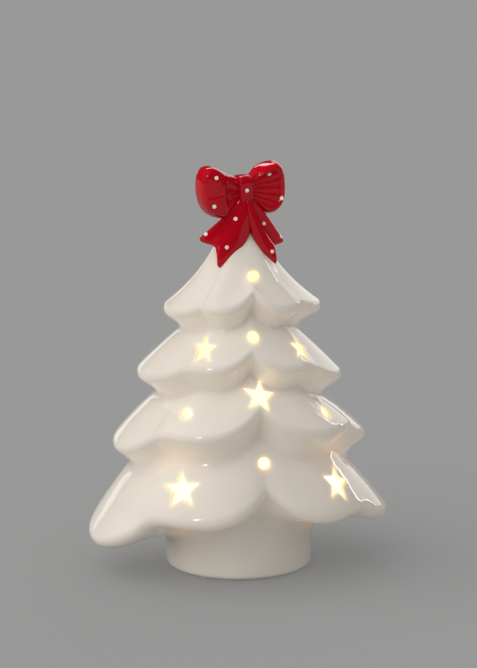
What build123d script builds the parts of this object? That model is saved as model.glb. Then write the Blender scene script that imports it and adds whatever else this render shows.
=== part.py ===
from build123d import *
import math
import os

# Ceramic Christmas tree with cut-out stars, a clay bow and a battery light in its foot.
# Millimetres, +Z up, the front towards -Y. The origin is on the table, under the tree's axis.

# Clay wall, cuts and running gaps
wall = 4.0
cut_overrun = 2.0
fit_gap = 0.3
slide_gap = 0.1
pin_gap = 0.05

# Lower tier, whose side lobes hang down beside the pot. A tier is given by its front lobes, how far
# they reach from the axis and how high their rim lies, and by how its side lobes spread and drop.
lower_front_reach = 84.0
lower_left_spread = 11.2
lower_right_spread = 11.2
lower_front_height = 47.0
lower_left_drop = 23.0
lower_right_drop = 14.0
lower_notch_rise = 19.0
lower_rim_round = 7.5
lower_bulge = 0.9

# Middle tier, one step above the lower one, and the neck under its rim
middle_front_reach = 74.5
middle_left_spread = 4.9
middle_right_spread = 6.1
middle_step = 44.5
middle_left_drop = 10.5
middle_right_drop = 10.9
middle_notch_rise = 17.0
middle_rim_round = 6.5
middle_bulge = 1.2
middle_neck_inset = 5.5
middle_neck_drop = 23.0
middle_neck_lift = 1.0

# Upper tier
upper_front_reach = 60.0
upper_left_spread = 3.6
upper_right_spread = 4.6
upper_step = 39.5
upper_left_drop = 6.4
upper_right_drop = 8.6
upper_notch_rise = 12.0
upper_rim_round = 6.0
upper_bulge = 0.5
upper_neck_inset = 6.6
upper_neck_drop = 21.0
upper_neck_lift = 1.0

# Crown tier
crown_front_reach = 48.0
crown_left_spread = -1.2
crown_right_spread = 3.0
crown_step = 36.5
crown_left_drop = 2.5
crown_right_drop = 0.5
crown_notch_rise = 12.0
crown_rim_round = 5.5
crown_bulge = -10.9
crown_neck_inset = 10.8
crown_neck_drop = 16.0
crown_neck_lift = 3.7

# Tip of the tree over the crown, with the spigot that the bow's knot is fixed on
tip_radius = 4.5
tip_rise = 62.5
tip_wall_height = 27.0
spigot_radius = 3.4
spigot_rise = 11.0

# Creases between the lobes, and how the notches and necks follow the rims
crease_depth = 3.5
notch_lean_share = 0.85
neck_slope_share = 0.95
neck_notch_share = 0.75
neck_crease_share = 0.3
pot_follow_share = 0.55
neck_wall_share = 1.3
lobe_skew = 1.35
lobe_fullness = 0.8
ring_count = 72

# Pot, its foot and the opening for the light unit
pot_top_radius = 47.0
pot_top_drop = 23.0
foot_radius = 46.0
foot_round = 3.0
lip_thickness = 4.0

# Foot pads
pad_radius = 2.8
pad_thickness = 0.8
pad_count = 4

# Cut-outs
lower_star_radius = 11.0
middle_star_radius = 10.0
upper_star_radius = 8.6
star_waist_share = 0.45
dot_radius = 3.8

# Bow
bow_turn = 9.0
bow_roll = 2.5
bow_rise = 8.5
knot_width = 10.6
knot_height = 16.5
knot_front = 14.5
knot_depth = 15.0
knot_round = 3.2
knot_edge_share = 0.8
loop_reach = 29.4
loop_height = 31.5
loop_depth = 15.5
loop_round_share = 0.3
loop_rise = 0.5
tail_reach = 24.0
tail_drop = 38.5
tail_front = 13.0
tail_width = 21.0
tail_thickness = 5.0
tail_round = 1.6
tail_notch_depth = 7.0

# Light unit: two AAA cells in a well, under a round cap with a circuit board and lamps
cell_radius = 5.25
cell_length = 44.5
cell_nub_radius = 1.9
cell_nub_length = 1.0
cell_pitch = 11.3
cell_edge_share = 0.08
spring_depth = 3.6
contact_thickness = 0.4
contact_width = 8.6
contact_height = 8.0
leaf_width = 4.0
leaf_foot_share = 0.4
tail_strip_width = 2.0
well_wall = 1.3
plate_lift = 0.4
plate_thickness = 2.4
flange_width = 4.7
gasket_thickness = 0.9
gasket_width = 3.4
door_thickness = 1.5
door_ledge = 0.8
door_recess = 0.2
door_pin_radius = 0.5
door_pin_length = 1.2
door_rib_height = 0.3
door_rib_width = 1.0
door_rib_pitch = 2.4
finger_dish_radius = 5.0
finger_dish_depth = 1.1
housing_radius = 31.4
housing_wall = 1.6
boss_radius = 2.7
boss_azimuth = 37.5
boss_bite_share = 0.8
screw_shank_radius = 1.0
screw_head_radius = 2.0
screw_head_height = 1.2
screw_length = 8.0
cross_length_share = 1.2
cross_width_share = 0.28
board_radius = 22.5
board_thickness = 1.6
board_drop = 7.2
standoff_radius = 2.3
standoff_circle = 19.7
board_screw_length = 5.0
board_screw_head = 1.4
board_screw_room = 0.4
lamp_radius = 2.5
lamp_flange_radius = 2.9
lamp_flange_height = 1.0
lamp_height = 8.6
lamp_circle = 8.0
lamp_crown_share = 0.92
chip_length = 5.0
chip_width = 4.0
chip_height = 1.6
chip_edge_share = 0.2
resistor_length = 3.2
resistor_width = 1.6
resistor_height = 0.6
resistor_place = 13.5
diffuser_radius = 16.0
diffuser_flange = 2.0
diffuser_wall = 1.2
diffuser_rise = 12.0
switch_place = 20.0
switch_travel = 2.5
switch_wall = 0.8
switch_pin_width = 0.6
switch_pin_pitch = 2.5
switch_pin_proud = 0.6
knob_width = 1.6
knob_length = 2.4
knob_proud = 0.7
carriage_width = 2.8
carriage_length = 3.6
carriage_height = 3.0

# Heights and radii that follow from the sizes above
foot_height = pad_thickness
plate_bottom = foot_height + plate_lift
plate_top = plate_bottom + plate_thickness
rebate_height = plate_top + gasket_thickness
lip_top = rebate_height + lip_thickness
opening_radius = housing_radius + 2 * fit_gap
plate_radius = housing_radius + flange_width
rebate_radius = plate_radius + fit_gap
door_bottom = plate_bottom + door_recess
door_top = door_bottom + door_thickness
cell_height = door_top + fit_gap + cell_radius
well_roof = cell_height + cell_radius + fit_gap
well_top = well_roof + well_wall
well_width = cell_pitch + 2 * cell_radius + 2 * fit_gap
well_length = cell_length + spring_depth + 2 * contact_thickness
board_bottom = well_top + board_screw_head + board_screw_room
board_top = board_bottom + board_thickness
roof_inner = board_top + board_drop
roof_top = roof_inner + housing_wall
middle_front_height = lower_front_height + middle_step
upper_front_height = middle_front_height + upper_step
crown_front_height = upper_front_height + crown_step
tip_height = crown_front_height + tip_rise
spigot_height = tip_height + spigot_rise
bow_height = tip_height + bow_rise

tiers = (
    dict(
        front=(crown_front_reach, crown_front_height),
        left=(crown_front_reach + crown_left_spread, crown_front_height - crown_left_drop),
        right=(crown_front_reach + crown_right_spread, crown_front_height - crown_right_drop),
        rise=crown_notch_rise,
        round=crown_rim_round,
        bulge=crown_bulge,
        neck=(crown_front_reach - crown_neck_inset, crown_front_height - crown_neck_drop),
        lift=crown_neck_lift,
        crease=44.0,
        turn=0.0,
    ),
    dict(
        front=(upper_front_reach, upper_front_height),
        left=(upper_front_reach + upper_left_spread, upper_front_height - upper_left_drop),
        right=(upper_front_reach + upper_right_spread, upper_front_height - upper_right_drop),
        rise=upper_notch_rise,
        round=upper_rim_round,
        bulge=upper_bulge,
        neck=(upper_front_reach - upper_neck_inset, upper_front_height - upper_neck_drop),
        lift=upper_neck_lift,
        crease=46.0,
        turn=-4.0,
    ),
    dict(
        front=(middle_front_reach, middle_front_height),
        left=(middle_front_reach + middle_left_spread, middle_front_height - middle_left_drop),
        right=(middle_front_reach + middle_right_spread, middle_front_height - middle_right_drop),
        rise=middle_notch_rise,
        round=middle_rim_round,
        bulge=middle_bulge,
        neck=(middle_front_reach - middle_neck_inset, middle_front_height - middle_neck_drop),
        lift=middle_neck_lift,
        crease=60.0,
        turn=0.0,
    ),
    dict(
        front=(lower_front_reach, lower_front_height),
        left=(lower_front_reach + lower_left_spread, lower_front_height - lower_left_drop),
        right=(lower_front_reach + lower_right_spread, lower_front_height - lower_right_drop),
        rise=lower_notch_rise,
        round=lower_rim_round,
        bulge=lower_bulge,
        neck=(pot_top_radius, lower_front_height - pot_top_drop),
        lift=0.0,
        crease=56.0,
        turn=1.0,
    ),
)
last_tier = len(tiers) - 1


def rim_at(tier, azimuth, notch_share=1.0, crease_share=1.0):
    """Rim reach and height at an azimuth in degrees from the front towards +X.

    Six lobes: two in front, two behind, one on each side. Each swells between two notches.
    """
    turned = (azimuth - tier["turn"]) % 360
    side = tier["right"] if turned < 180 else tier["left"]
    folded = turned % 180
    folded = min(folded, 180 - folded)
    near_front = folded < tier["crease"]
    if near_front:
        along = folded / tier["crease"]
        skewed = along**lobe_skew
    else:
        along = 0.5 + 0.5 * (90 - folded) / (90 - tier["crease"])
        skewed = along
    swell = max(0.0, 4 * skewed * (1 - skewed)) ** lobe_fullness
    found = []
    for front, flank, notch_move, crease_move in (
        (tier["front"][0], side[0], -notch_lean_share, -1),
        (tier["front"][1], side[1], 1, 1),
    ):
        crease = (front + flank) / 2 + crease_depth * crease_share * crease_move
        notch = front + tier["rise"] * notch_share * notch_move
        low = notch + (crease - notch) * along if near_front else crease
        lobe = front if near_front else flank
        found.append(low + (lobe - low) * swell)
    return found


def neck_at(index, azimuth):
    """Radius and height of the neck under a tier; the neck under the last one is the pot's top."""
    tier = tiers[index]
    radius, height = tier["neck"]
    side_height = (tier["left"][1] + tier["right"][1]) / 2
    soft_height = rim_at(tier, azimuth, neck_notch_share, neck_crease_share)[1]
    rise = soft_height - side_height
    if index == last_tier:
        return radius, height + rise * pot_follow_share
    rise += tier["lift"] * math.cos(math.radians(azimuth)) ** 2
    return radius - rise * neck_slope_share, height + rise


def tangent_angle(centre, radius, point, turn):
    """Angle on a circle where the line from an outside point touches it."""
    across = point[0] - centre[0]
    up = point[1] - centre[1]
    return math.atan2(up, across) + turn * math.acos(radius / math.hypot(across, up))


def skirt_curve(index, azimuth):
    """Start, control and end of a tier's skirt in its meridian plane, and its rim circle."""
    tier = tiers[index]
    reach, height = rim_at(tier, azimuth)
    centre = (reach - tier["round"], height)
    start = (tip_radius, tip_height) if index == 0 else neck_at(index - 1, azimuth)
    first = tangent_angle(centre, tier["round"], start, -1)
    control = []
    for axis, lean in ((0, math.cos(first)), (1, math.sin(first))):
        touch = centre[axis] + tier["round"] * lean
        control.append((start[axis] + touch) / 2 + 2 * tier["bulge"] * lean)
    top_angle = tangent_angle(centre, tier["round"], control, -1)
    end = (
        centre[0] + tier["round"] * math.cos(top_angle),
        centre[1] + tier["round"] * math.sin(top_angle),
    )
    return start, control, end, centre, top_angle


def skirt_point(index, azimuth, share, inset=0.0):
    """Point on a tier's skirt at a share of the way down, moved in square to it by an inset."""
    start, control, end, _, _ = skirt_curve(index, azimuth)
    place = []
    slope = []
    for a, b, c in zip(start, control, end):
        place.append((1 - share) ** 2 * a + 2 * share * (1 - share) * b + share**2 * c)
        slope.append((1 - share) * (b - a) + share * (c - b))
    length = math.hypot(*slope)
    return place[0] + slope[1] / length * inset, place[1] - slope[0] / length * inset


def meridian(azimuth, inset):
    """Points of the tree's profile at an azimuth, from the tip to the pot, moved in by an inset."""
    points = []
    for index, tier in enumerate(tiers):
        _, _, _, centre, top_angle = skirt_curve(index, azimuth)
        bottom = neck_at(index, azimuth)
        low_angle = tangent_angle(centre, tier["round"], bottom, 1)
        if low_angle > top_angle:
            low_angle -= 2 * math.pi
        shares = inner_crown_shares if inset and index == 0 else skirt_shares
        points += [skirt_point(index, azimuth, share, inset) for share in shares]
        for share in rim_shares:
            angle = top_angle + (low_angle - top_angle) * share
            radius = tier["round"] - inset
            points.append((centre[0] + radius * math.cos(angle), centre[1] + radius * math.sin(angle)))
        if index == last_tier:
            points.append((bottom[0] - inset, bottom[1] + inset))
        else:
            points.append((bottom[0] - neck_wall_share * inset, bottom[1]))
    return points


def ring_wire(points):
    """Closed smooth ring through one (radius, height) point for each azimuth."""
    places = []
    for azimuth, (radius, height) in zip(azimuths, points):
        angle = math.radians(azimuth)
        places.append((radius * math.sin(angle), -radius * math.cos(angle), height))
    steps = [step / ring_count for step in range(ring_count + 1)]
    return Wire([Edge.make_spline(places, periodic=True, parameters=steps)])


def round_ring(radius, height):
    return ring_wire([(radius, height)] * ring_count)


def outward_plane(azimuth, radius, height):
    """Upright plane that faces straight out of the tree, on a point at an azimuth."""
    angle = math.radians(azimuth)
    out = (math.sin(angle), -math.cos(angle), 0)
    along = (math.cos(angle), math.sin(angle), 0)
    return Plane(origin=(radius * out[0], radius * out[1], height), x_dir=along, z_dir=out)


def ring_between(outer, inner, bottom, height):
    """Flat ring on the tree's axis."""
    with BuildPart() as ring:
        with BuildSketch(Plane.XY.offset(bottom)):
            Circle(outer)
            Circle(inner, mode=Mode.SUBTRACT)
        extrude(amount=height)
    return ring


def save(piece, name):
    piece.part.label = name
    export_step(piece.part, f"parts/{name}.step")


os.makedirs("parts", exist_ok=True)

# Tree shell: slip-cast clay with an even wall, glazed white, open at the foot
azimuths = [360 * step / ring_count for step in range(ring_count)]
skirt_shares = (0.25, 0.5, 0.75)
inner_crown_shares = (0.5, 0.75)
rim_shares = (0.0, 0.25, 0.5, 0.75, 1.0)
foot_round_shares = ((0.0, 1.0), (0.3, 0.3), (1.0, 0.0))

outer_points = [meridian(azimuth, 0.0) for azimuth in azimuths]
outer_rings = [round_ring(spigot_radius, spigot_height), round_ring(tip_radius, tip_height)]
outer_rings +=[ring_wire(points) for points in zip(*outer_points)]
for in_share, up_share in foot_round_shares:
    outer_rings.append(round_ring(foot_radius - in_share * foot_round, foot_height + up_share * foot_round))
tree_form = Solid.make_loft(outer_rings, ruled=True)

inner_points = [meridian(azimuth, wall) for azimuth in azimuths]
inner_rings = [round_ring(tip_radius, tip_height - tip_wall_height)]
inner_rings += [ring_wire(points) for points in zip(*inner_points)]
inner_rings.append(round_ring(foot_radius - wall, lip_top))
cavity_form = Solid.make_loft(inner_rings, ruled=True)

# Cut-outs: tier, azimuth, share of the way down the skirt, star radius or none for a round hole
cut_outs = (
    (0, 8.0, 0.74, None),
    (1, -2.5, 0.66, None),
    (1, -38.0, 0.55, upper_star_radius),
    (1, 35.5, 0.62, upper_star_radius),
    (2, 1.0, 0.70, middle_star_radius),
    (2, -43.5, 0.53, None),
    (2, 40.0, 0.61, None),
    (3, 0.5, 0.61, None),
    (3, -42.0, 0.59, lower_star_radius),
    (3, 39.0, 0.65, lower_star_radius),
)
star_points = 5


def star_corners(star_radius):
    """Corners of an upright star, points and waists in turn."""
    corners = []
    for step in range(2 * star_points):
        angle = math.pi / 2 + math.pi * step / star_points
        radius = star_radius * (star_waist_share if step % 2 else 1)
        corners.append((radius * math.cos(angle), radius * math.sin(angle)))
    return corners


with BuildPart() as cutters:
    for index, azimuth, share, star_radius in cut_outs:
        for half_turn in (0, 180):
            place = skirt_point(index, azimuth + half_turn, share)
            with BuildSketch(outward_plane(azimuth + half_turn, *place)):
                if star_radius:
                    Polygon(*star_corners(star_radius))
                else:
                    Circle(dot_radius)
            extrude(amount=(star_radius or dot_radius) + 2 * wall, both=True)

with BuildPart() as tree_shell:
    add(tree_form)
    add(cavity_form, mode=Mode.SUBTRACT)
    with BuildSketch(Plane.XY.offset(foot_height - cut_overrun)):
        Circle(opening_radius)
    extrude(amount=lip_top - foot_height + 2 * cut_overrun, mode=Mode.SUBTRACT)
    with BuildSketch(Plane.XY.offset(foot_height - cut_overrun)):
        Circle(rebate_radius)
    extrude(amount=rebate_height - foot_height + cut_overrun, mode=Mode.SUBTRACT)
    add(cutters.part, mode=Mode.SUBTRACT)
save(tree_shell, "tree_shell")

# Foot pads: soft discs stuck under the foot ring
pad_circle = (rebate_radius + foot_radius - foot_round) / 2
with BuildPart() as foot_pads:
    with BuildSketch():
        with PolarLocations(pad_circle, pad_count, start_angle=45):
            Circle(pad_radius)
    extrude(amount=pad_thickness)
save(foot_pads, "foot_pads")

# Bow: five clay pieces joined with slip on the tip, turned a little to the right and rolled
turn = math.radians(bow_turn)
roll = math.radians(bow_roll)
bow_plane = Plane(
    origin=(0, 0, bow_height),
    x_dir=(math.cos(turn) * math.cos(roll), math.sin(turn) * math.cos(roll), math.sin(roll)),
    z_dir=(math.sin(turn), -math.cos(turn), 0),
)

with BuildPart() as bow_knot:
    with BuildSketch(bow_plane.offset(knot_front - knot_depth)):
        RectangleRounded(knot_width, knot_height, knot_round)
    extrude(amount=knot_depth)
    bow_axis = Axis(bow_plane.origin, bow_plane.z_dir)
    fillet(bow_knot.faces().sort_by(bow_axis)[-1].edges(), knot_round * knot_edge_share)
    add(tree_form, mode=Mode.SUBTRACT)
save(bow_knot, "bow_knot")

# Loops: thick slabs with rounded edges, pinched at the knot, tallest two thirds of the way out
loop_station_shares = (-0.1, 0.16, 0.4, 0.64, 0.85, 0.96, 1.0)
loop_height_shares = (0.46, 0.7, 0.9, 1.0, 0.88, 0.64, 0.4)
loop_depth_shares = (0.6, 0.74, 0.9, 1.0, 0.98, 0.86, 0.7)
loop_front_shares = (0.48, 0.48, 0.45, 0.38, 0.28, 0.24, 0.23)


def bow_loop(side):
    """One loop of the bow, to the right where side is 1 and to the left where it is -1."""
    with BuildPart() as loop:
        for station, height, depth, front in zip(
            loop_station_shares, loop_height_shares, loop_depth_shares, loop_front_shares
        ):
            across = knot_width / 2 + (loop_reach - knot_width / 2) * station
            centre = bow_plane.from_local_coords((side * across, loop_rise, knot_front * front))
            with BuildSketch(Plane(centre, x_dir=bow_plane.z_dir, z_dir=bow_plane.x_dir * side)):
                RectangleRounded(
                    loop_depth * depth, loop_height * height, loop_depth * depth * loop_round_share
                )
        loft()
        add(bow_knot.part, mode=Mode.SUBTRACT)
        add(tree_form, mode=Mode.SUBTRACT)
    return loop


bow_left_loop = bow_loop(-1)
save(bow_left_loop, "bow_left_loop")
bow_right_loop = bow_loop(1)
save(bow_right_loop, "bow_right_loop")

# Tails: thick ribbons that fall from the knot, widen and turn on edge, with swallow-tail ends
tail_place_shares = ((0.1, 0.1, 0.8), (0.28, 0.42, 1.0), (0.58, 0.72, 1.0), (1.0, 1.0, 0.75))
tail_path_shares = ((0.3, -0.93, 0.2), (0.43, -0.89, 0.1), (0.6, -0.79, -0.11), (0.67, -0.71, -0.21))
tail_edge_shares = ((1.0, 0.0, 0.0), (0.93, 0.35, -0.12), (0.72, 0.62, -0.3), (0.41, 0.77, -0.48))
tail_width_shares = (0.42, 0.6, 0.82, 1.0)
tail_notch_shares = (-0.5, 0.06, 0.5)


def bow_direction(side, shares):
    """Direction given across, up and out of the bow, mirrored for the left side."""
    across, up, out = shares
    return bow_plane.x_dir * (side * across) + bow_plane.y_dir * up + bow_plane.z_dir * out


def bow_tail(side, cut_by):
    """One tail of the bow, cut back to the pieces that it lies against."""
    with BuildPart() as tail:
        for place, path, edge, width in zip(
            tail_place_shares, tail_path_shares, tail_edge_shares, tail_width_shares
        ):
            centre = bow_plane.from_local_coords(
                (side * tail_reach * place[0], -tail_drop * place[1], tail_front * place[2])
            )
            along = bow_direction(side, path)
            across = bow_direction(side, edge)
            with BuildSketch(Plane(centre, x_dir=across, z_dir=along)):
                RectangleRounded(tail_width * width, tail_thickness, tail_round)
        loft()
        with BuildSketch(Plane(centre, x_dir=across, z_dir=across.cross(along))):
            inner, middle, outer = (tail_width * share for share in tail_notch_shares)
            Polygon((inner, cut_overrun), (middle, -tail_notch_depth), (outer, cut_overrun))
        extrude(amount=tail_thickness, both=True, mode=Mode.SUBTRACT)
        for piece in cut_by:
            add(piece, mode=Mode.SUBTRACT)
    return tail


bow_left_tail = bow_tail(-1, (tree_form, bow_knot.part, bow_left_loop.part))
save(bow_left_tail, "bow_left_tail")
bow_right_tail = bow_tail(1, (tree_form, bow_knot.part, bow_right_loop.part, bow_left_tail.part))
save(bow_right_tail, "bow_right_tail")

# Places in the light unit that several pieces share
well_end = well_length / 2
seat_width = well_width + 2 * door_ledge
seat_length = well_length + 2 * door_ledge
door_width = seat_width - 2 * fit_gap
door_end = seat_length / 2 - fit_gap
hinge_place = door_thickness / 2 + fit_gap - seat_length / 2
hinge_height = door_bottom + door_thickness / 2
boss_circle = housing_radius - housing_wall - boss_bite_share * boss_radius
boss_places = []
for azimuth in (boss_azimuth, 180 - boss_azimuth, 180 + boss_azimuth, -boss_azimuth):
    angle = math.radians(azimuth)
    boss_places.append((boss_circle * math.cos(angle), boss_circle * math.sin(angle)))
standoff_places = [(0, standoff_circle)]
for azimuth in (210, 330):
    angle = math.radians(azimuth)
    standoff_places.append((standoff_circle * math.cos(angle), standoff_circle * math.sin(angle)))
pin_places = [(switch_place, step * switch_pin_pitch) for step in (-1, 0, 1)]
strip_places = [(side * cell_pitch / 2, -standoff_circle) for side in (-1, 1)]
strip_height = well_top + fit_gap
strip_top = board_top + switch_pin_proud
screw_head_bottom = plate_bottom + slide_gap
screw_head_top = screw_head_bottom + screw_head_height
screw_top = screw_head_top + screw_length
board_screw_top = board_bottom + board_screw_length
cavity_length = carriage_length + 2 * switch_travel + 2 * fit_gap
cavity_width = carriage_width + 2 * slide_gap
carriage_bottom = plate_top + slide_gap
cavity_top = carriage_bottom + carriage_height + slide_gap
switch_top = cavity_top + switch_wall

# Seat gasket: soft ring that beds the light unit in the pot's foot
gasket_inner = opening_radius + fit_gap
seat_gasket = ring_between(gasket_inner + gasket_width, gasket_inner, plate_top, gasket_thickness)
save(seat_gasket, "seat_gasket")

# Base plate: moulded flange with the battery well, the door's seat and the switch slot
with BuildPart() as base_plate:
    with BuildSketch(Plane.XY.offset(plate_bottom)):
        Circle(plate_radius)
    extrude(amount=plate_thickness)
    with BuildSketch(Plane.XY.offset(plate_top)):
        Rectangle(well_width + 2 * well_wall, well_length + 2 * well_wall)
    extrude(amount=well_top - plate_top)
    with BuildSketch(Plane.XY.offset(plate_bottom - cut_overrun)):
        Rectangle(well_width, well_length)
    extrude(amount=well_roof - plate_bottom + cut_overrun, mode=Mode.SUBTRACT)
    with BuildSketch(Plane.XY.offset(plate_bottom - cut_overrun)):
        Rectangle(seat_width, seat_length)
    extrude(amount=door_top + slide_gap - plate_bottom + cut_overrun, mode=Mode.SUBTRACT)
    with BuildSketch(Plane.YZ):
        with Locations((hinge_place, hinge_height)):
            Circle(door_pin_radius + pin_gap)
    extrude(amount=door_width / 2 + door_pin_length + fit_gap, both=True, mode=Mode.SUBTRACT)
    with BuildSketch(Plane.XY.offset(plate_bottom - cut_overrun)):
        with Locations((0, seat_length / 2)):
            Circle(finger_dish_radius)
    extrude(amount=finger_dish_depth + cut_overrun, mode=Mode.SUBTRACT)
    with BuildSketch(Plane.XY.offset(plate_bottom - cut_overrun)):
        with Locations((switch_place, 0)):
            Rectangle(knob_width + 2 * fit_gap, knob_length + 2 * switch_travel + 2 * fit_gap)
    extrude(amount=plate_thickness + 2 * cut_overrun, mode=Mode.SUBTRACT)
    with BuildSketch(Plane.XY.offset(plate_bottom - cut_overrun)):
        with Locations(*boss_places):
            Circle(screw_shank_radius + fit_gap)
    extrude(amount=plate_thickness + 2 * cut_overrun, mode=Mode.SUBTRACT)
    with BuildSketch(Plane.XY.offset(plate_bottom - cut_overrun)):
        with Locations(*boss_places):
            Circle(screw_head_radius + slide_gap)
    extrude(amount=screw_head_top - plate_bottom + cut_overrun, mode=Mode.SUBTRACT)
    with BuildSketch(Plane.XY.offset(well_roof)):
        with Locations(*[(x, contact_thickness / 2 - well_end) for x, _ in strip_places]):
            Rectangle(tail_strip_width + 2 * fit_gap, contact_thickness + 2 * fit_gap)
    extrude(amount=well_wall + cut_overrun, mode=Mode.SUBTRACT)
save(base_plate, "base_plate")

# Battery door: lid on two stub pins, with ribs for the thumb at its free end
with BuildPart() as battery_door:
    with BuildSketch(Plane.YZ):
        with Locations(((hinge_place + door_end) / 2, hinge_height)):
            Rectangle(door_end - hinge_place, door_thickness)
        with Locations((hinge_place, hinge_height)):
            Circle(door_thickness / 2)
    extrude(amount=door_width / 2, both=True)
    with BuildSketch(Plane.YZ):
        with Locations((hinge_place, hinge_height)):
            Circle(door_pin_radius)
    extrude(amount=door_width / 2 + door_pin_length, both=True)
    with BuildSketch(Plane.XY.offset(door_bottom - door_rib_height)):
        with Locations(*[(0, door_end - step * door_rib_pitch) for step in (1, 2, 3)]):
            Rectangle(door_width / 2, door_rib_width)
    extrude(amount=door_rib_height)
save(battery_door, "battery_door")

# Light housing: round cap over the works, with bosses for its screws and the board's standoffs
with BuildPart() as light_housing:
    with BuildSketch(Plane.XY.offset(plate_top)):
        Circle(housing_radius)
    extrude(amount=roof_top - plate_top)
    with BuildSketch(Plane.XY.offset(plate_top - cut_overrun)):
        Circle(housing_radius - housing_wall)
    extrude(amount=roof_inner - plate_top + cut_overrun, mode=Mode.SUBTRACT)
    with BuildSketch(Plane.XY.offset(plate_top)):
        with Locations(*boss_places):
            Circle(boss_radius)
    extrude(amount=roof_inner - plate_top)
    with BuildSketch(Plane.XY.offset(plate_top - cut_overrun)):
        with Locations(*boss_places):
            Circle(screw_shank_radius + pin_gap)
    extrude(amount=screw_top + fit_gap - plate_top + cut_overrun, mode=Mode.SUBTRACT)
    with BuildSketch(Plane.XY.offset(board_top)):
        with Locations(*standoff_places):
            Circle(standoff_radius)
    extrude(amount=roof_inner - board_top)
    with BuildSketch(Plane.XY.offset(board_top - cut_overrun)):
        with Locations(*standoff_places):
            Circle(screw_shank_radius + pin_gap)
    extrude(amount=board_screw_top + fit_gap - board_top + cut_overrun, mode=Mode.SUBTRACT)
    with BuildSketch(Plane.XY.offset(roof_inner - cut_overrun)):
        Circle(diffuser_radius)
    extrude(amount=housing_wall + 2 * cut_overrun, mode=Mode.SUBTRACT)
save(light_housing, "light_housing")


def screws(places, head_bottom, head_height, top):
    """Pan-head screws that point up, each with a cross recess in its head."""
    with BuildPart() as group:
        with BuildSketch(Plane.XY.offset(head_bottom)):
            with Locations(*places):
                Circle(screw_head_radius)
        extrude(amount=head_height)
        with BuildSketch(Plane.XY.offset(head_bottom + head_height)):
            with Locations(*places):
                Circle(screw_shank_radius)
        extrude(amount=top - head_bottom - head_height)
        with BuildSketch(Plane.XY.offset(head_bottom - cut_overrun)):
            with Locations(*places):
                Rectangle(screw_head_radius * cross_length_share, screw_head_radius * cross_width_share)
                Rectangle(screw_head_radius * cross_width_share, screw_head_radius * cross_length_share)
        extrude(amount=head_height / 2 + cut_overrun, mode=Mode.SUBTRACT)
    return group


save(screws(boss_places, screw_head_bottom, screw_head_height, screw_top), "housing_screws")
save(screws(standoff_places, board_bottom - board_screw_head, board_screw_head, board_screw_top), "board_screws")

# Circuit board with its lamps, driver chip and resistors
with BuildPart() as circuit_board:
    with BuildSketch(Plane.XY.offset(board_bottom)):
        Circle(board_radius)
        with Locations(*standoff_places):
            Circle(screw_shank_radius + slide_gap, mode=Mode.SUBTRACT)
        with Locations(*pin_places):
            pin_hole = switch_pin_width + 2 * slide_gap
            Rectangle(pin_hole, pin_hole, mode=Mode.SUBTRACT)
        with Locations(*strip_places):
            Rectangle(
                tail_strip_width + 2 * slide_gap, contact_thickness + 2 * slide_gap, mode=Mode.SUBTRACT
            )
    extrude(amount=board_thickness)
save(circuit_board, "circuit_board")

for number, azimuth in enumerate((45, 135, 225, 315), 1):
    angle = math.radians(azimuth)
    lamp_place = (lamp_circle * math.cos(angle), lamp_circle * math.sin(angle))
    with BuildPart() as lamp:
        with BuildSketch(Plane.XY.offset(board_top)):
            with Locations(lamp_place):
                Circle(lamp_radius)
        extrude(amount=lamp_height)
        fillet(lamp.faces().sort_by(Axis.Z)[-1].edges(), lamp_radius * lamp_crown_share)
        with BuildSketch(Plane.XY.offset(board_top)):
            with Locations(lamp_place):
                Circle(lamp_flange_radius)
        extrude(amount=lamp_flange_height)
    save(lamp, f"lamp_{number}")

with BuildPart() as driver_chip:
    with BuildSketch(Plane.XY.offset(board_top)):
        Rectangle(chip_length, chip_width)
    extrude(amount=chip_height)
    chamfer(driver_chip.faces().sort_by(Axis.Z)[-1].edges(), chip_height * chip_edge_share)
save(driver_chip, "driver_chip")

with BuildPart() as resistors:
    with BuildSketch(Plane.XY.offset(board_top)):
        with Locations((resistor_place, 0), (-resistor_place, 0)):
            Rectangle(resistor_width, resistor_length)
    extrude(amount=resistor_height)
save(resistors, "resistors")

# Diffuser dome: frosted plastic cap of a sphere, plugged into the housing's roof
dome_base = roof_top + diffuser_wall
dome_top = roof_top + diffuser_rise
plug_radius = diffuser_radius - slide_gap
bore_radius = plug_radius - diffuser_wall
flange_radius = diffuser_radius + diffuser_flange
dome_rise = dome_top - dome_base
dome_radius = (diffuser_radius**2 + dome_rise**2) / (2 * dome_rise)
inner_rise = dome_rise - diffuser_wall
inner_radius = (bore_radius**2 + inner_rise**2) / (2 * inner_rise)
dome_start = math.degrees(math.asin((dome_radius - dome_rise) / dome_radius))
inner_start = math.degrees(math.asin((inner_radius - inner_rise) / inner_radius))
with BuildPart() as diffuser_dome:
    with BuildSketch(Plane.XZ):
        with BuildLine():
            Polyline(
                (bore_radius, dome_base),
                (bore_radius, roof_inner),
                (plug_radius, roof_inner),
                (plug_radius, roof_top),
                (flange_radius, roof_top),
                (flange_radius, dome_base),
                (diffuser_radius, dome_base),
            )
            CenterArc((0, dome_top - dome_radius), dome_radius, dome_start, 90 - dome_start)
            Line((0, dome_top), (0, dome_top - diffuser_wall))
            CenterArc(
                (0, dome_top - diffuser_wall - inner_radius), inner_radius, inner_start, 90 - inner_start
            )
        make_face()
    revolve(axis=Axis.Z)
save(diffuser_dome, "diffuser_dome")

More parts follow.
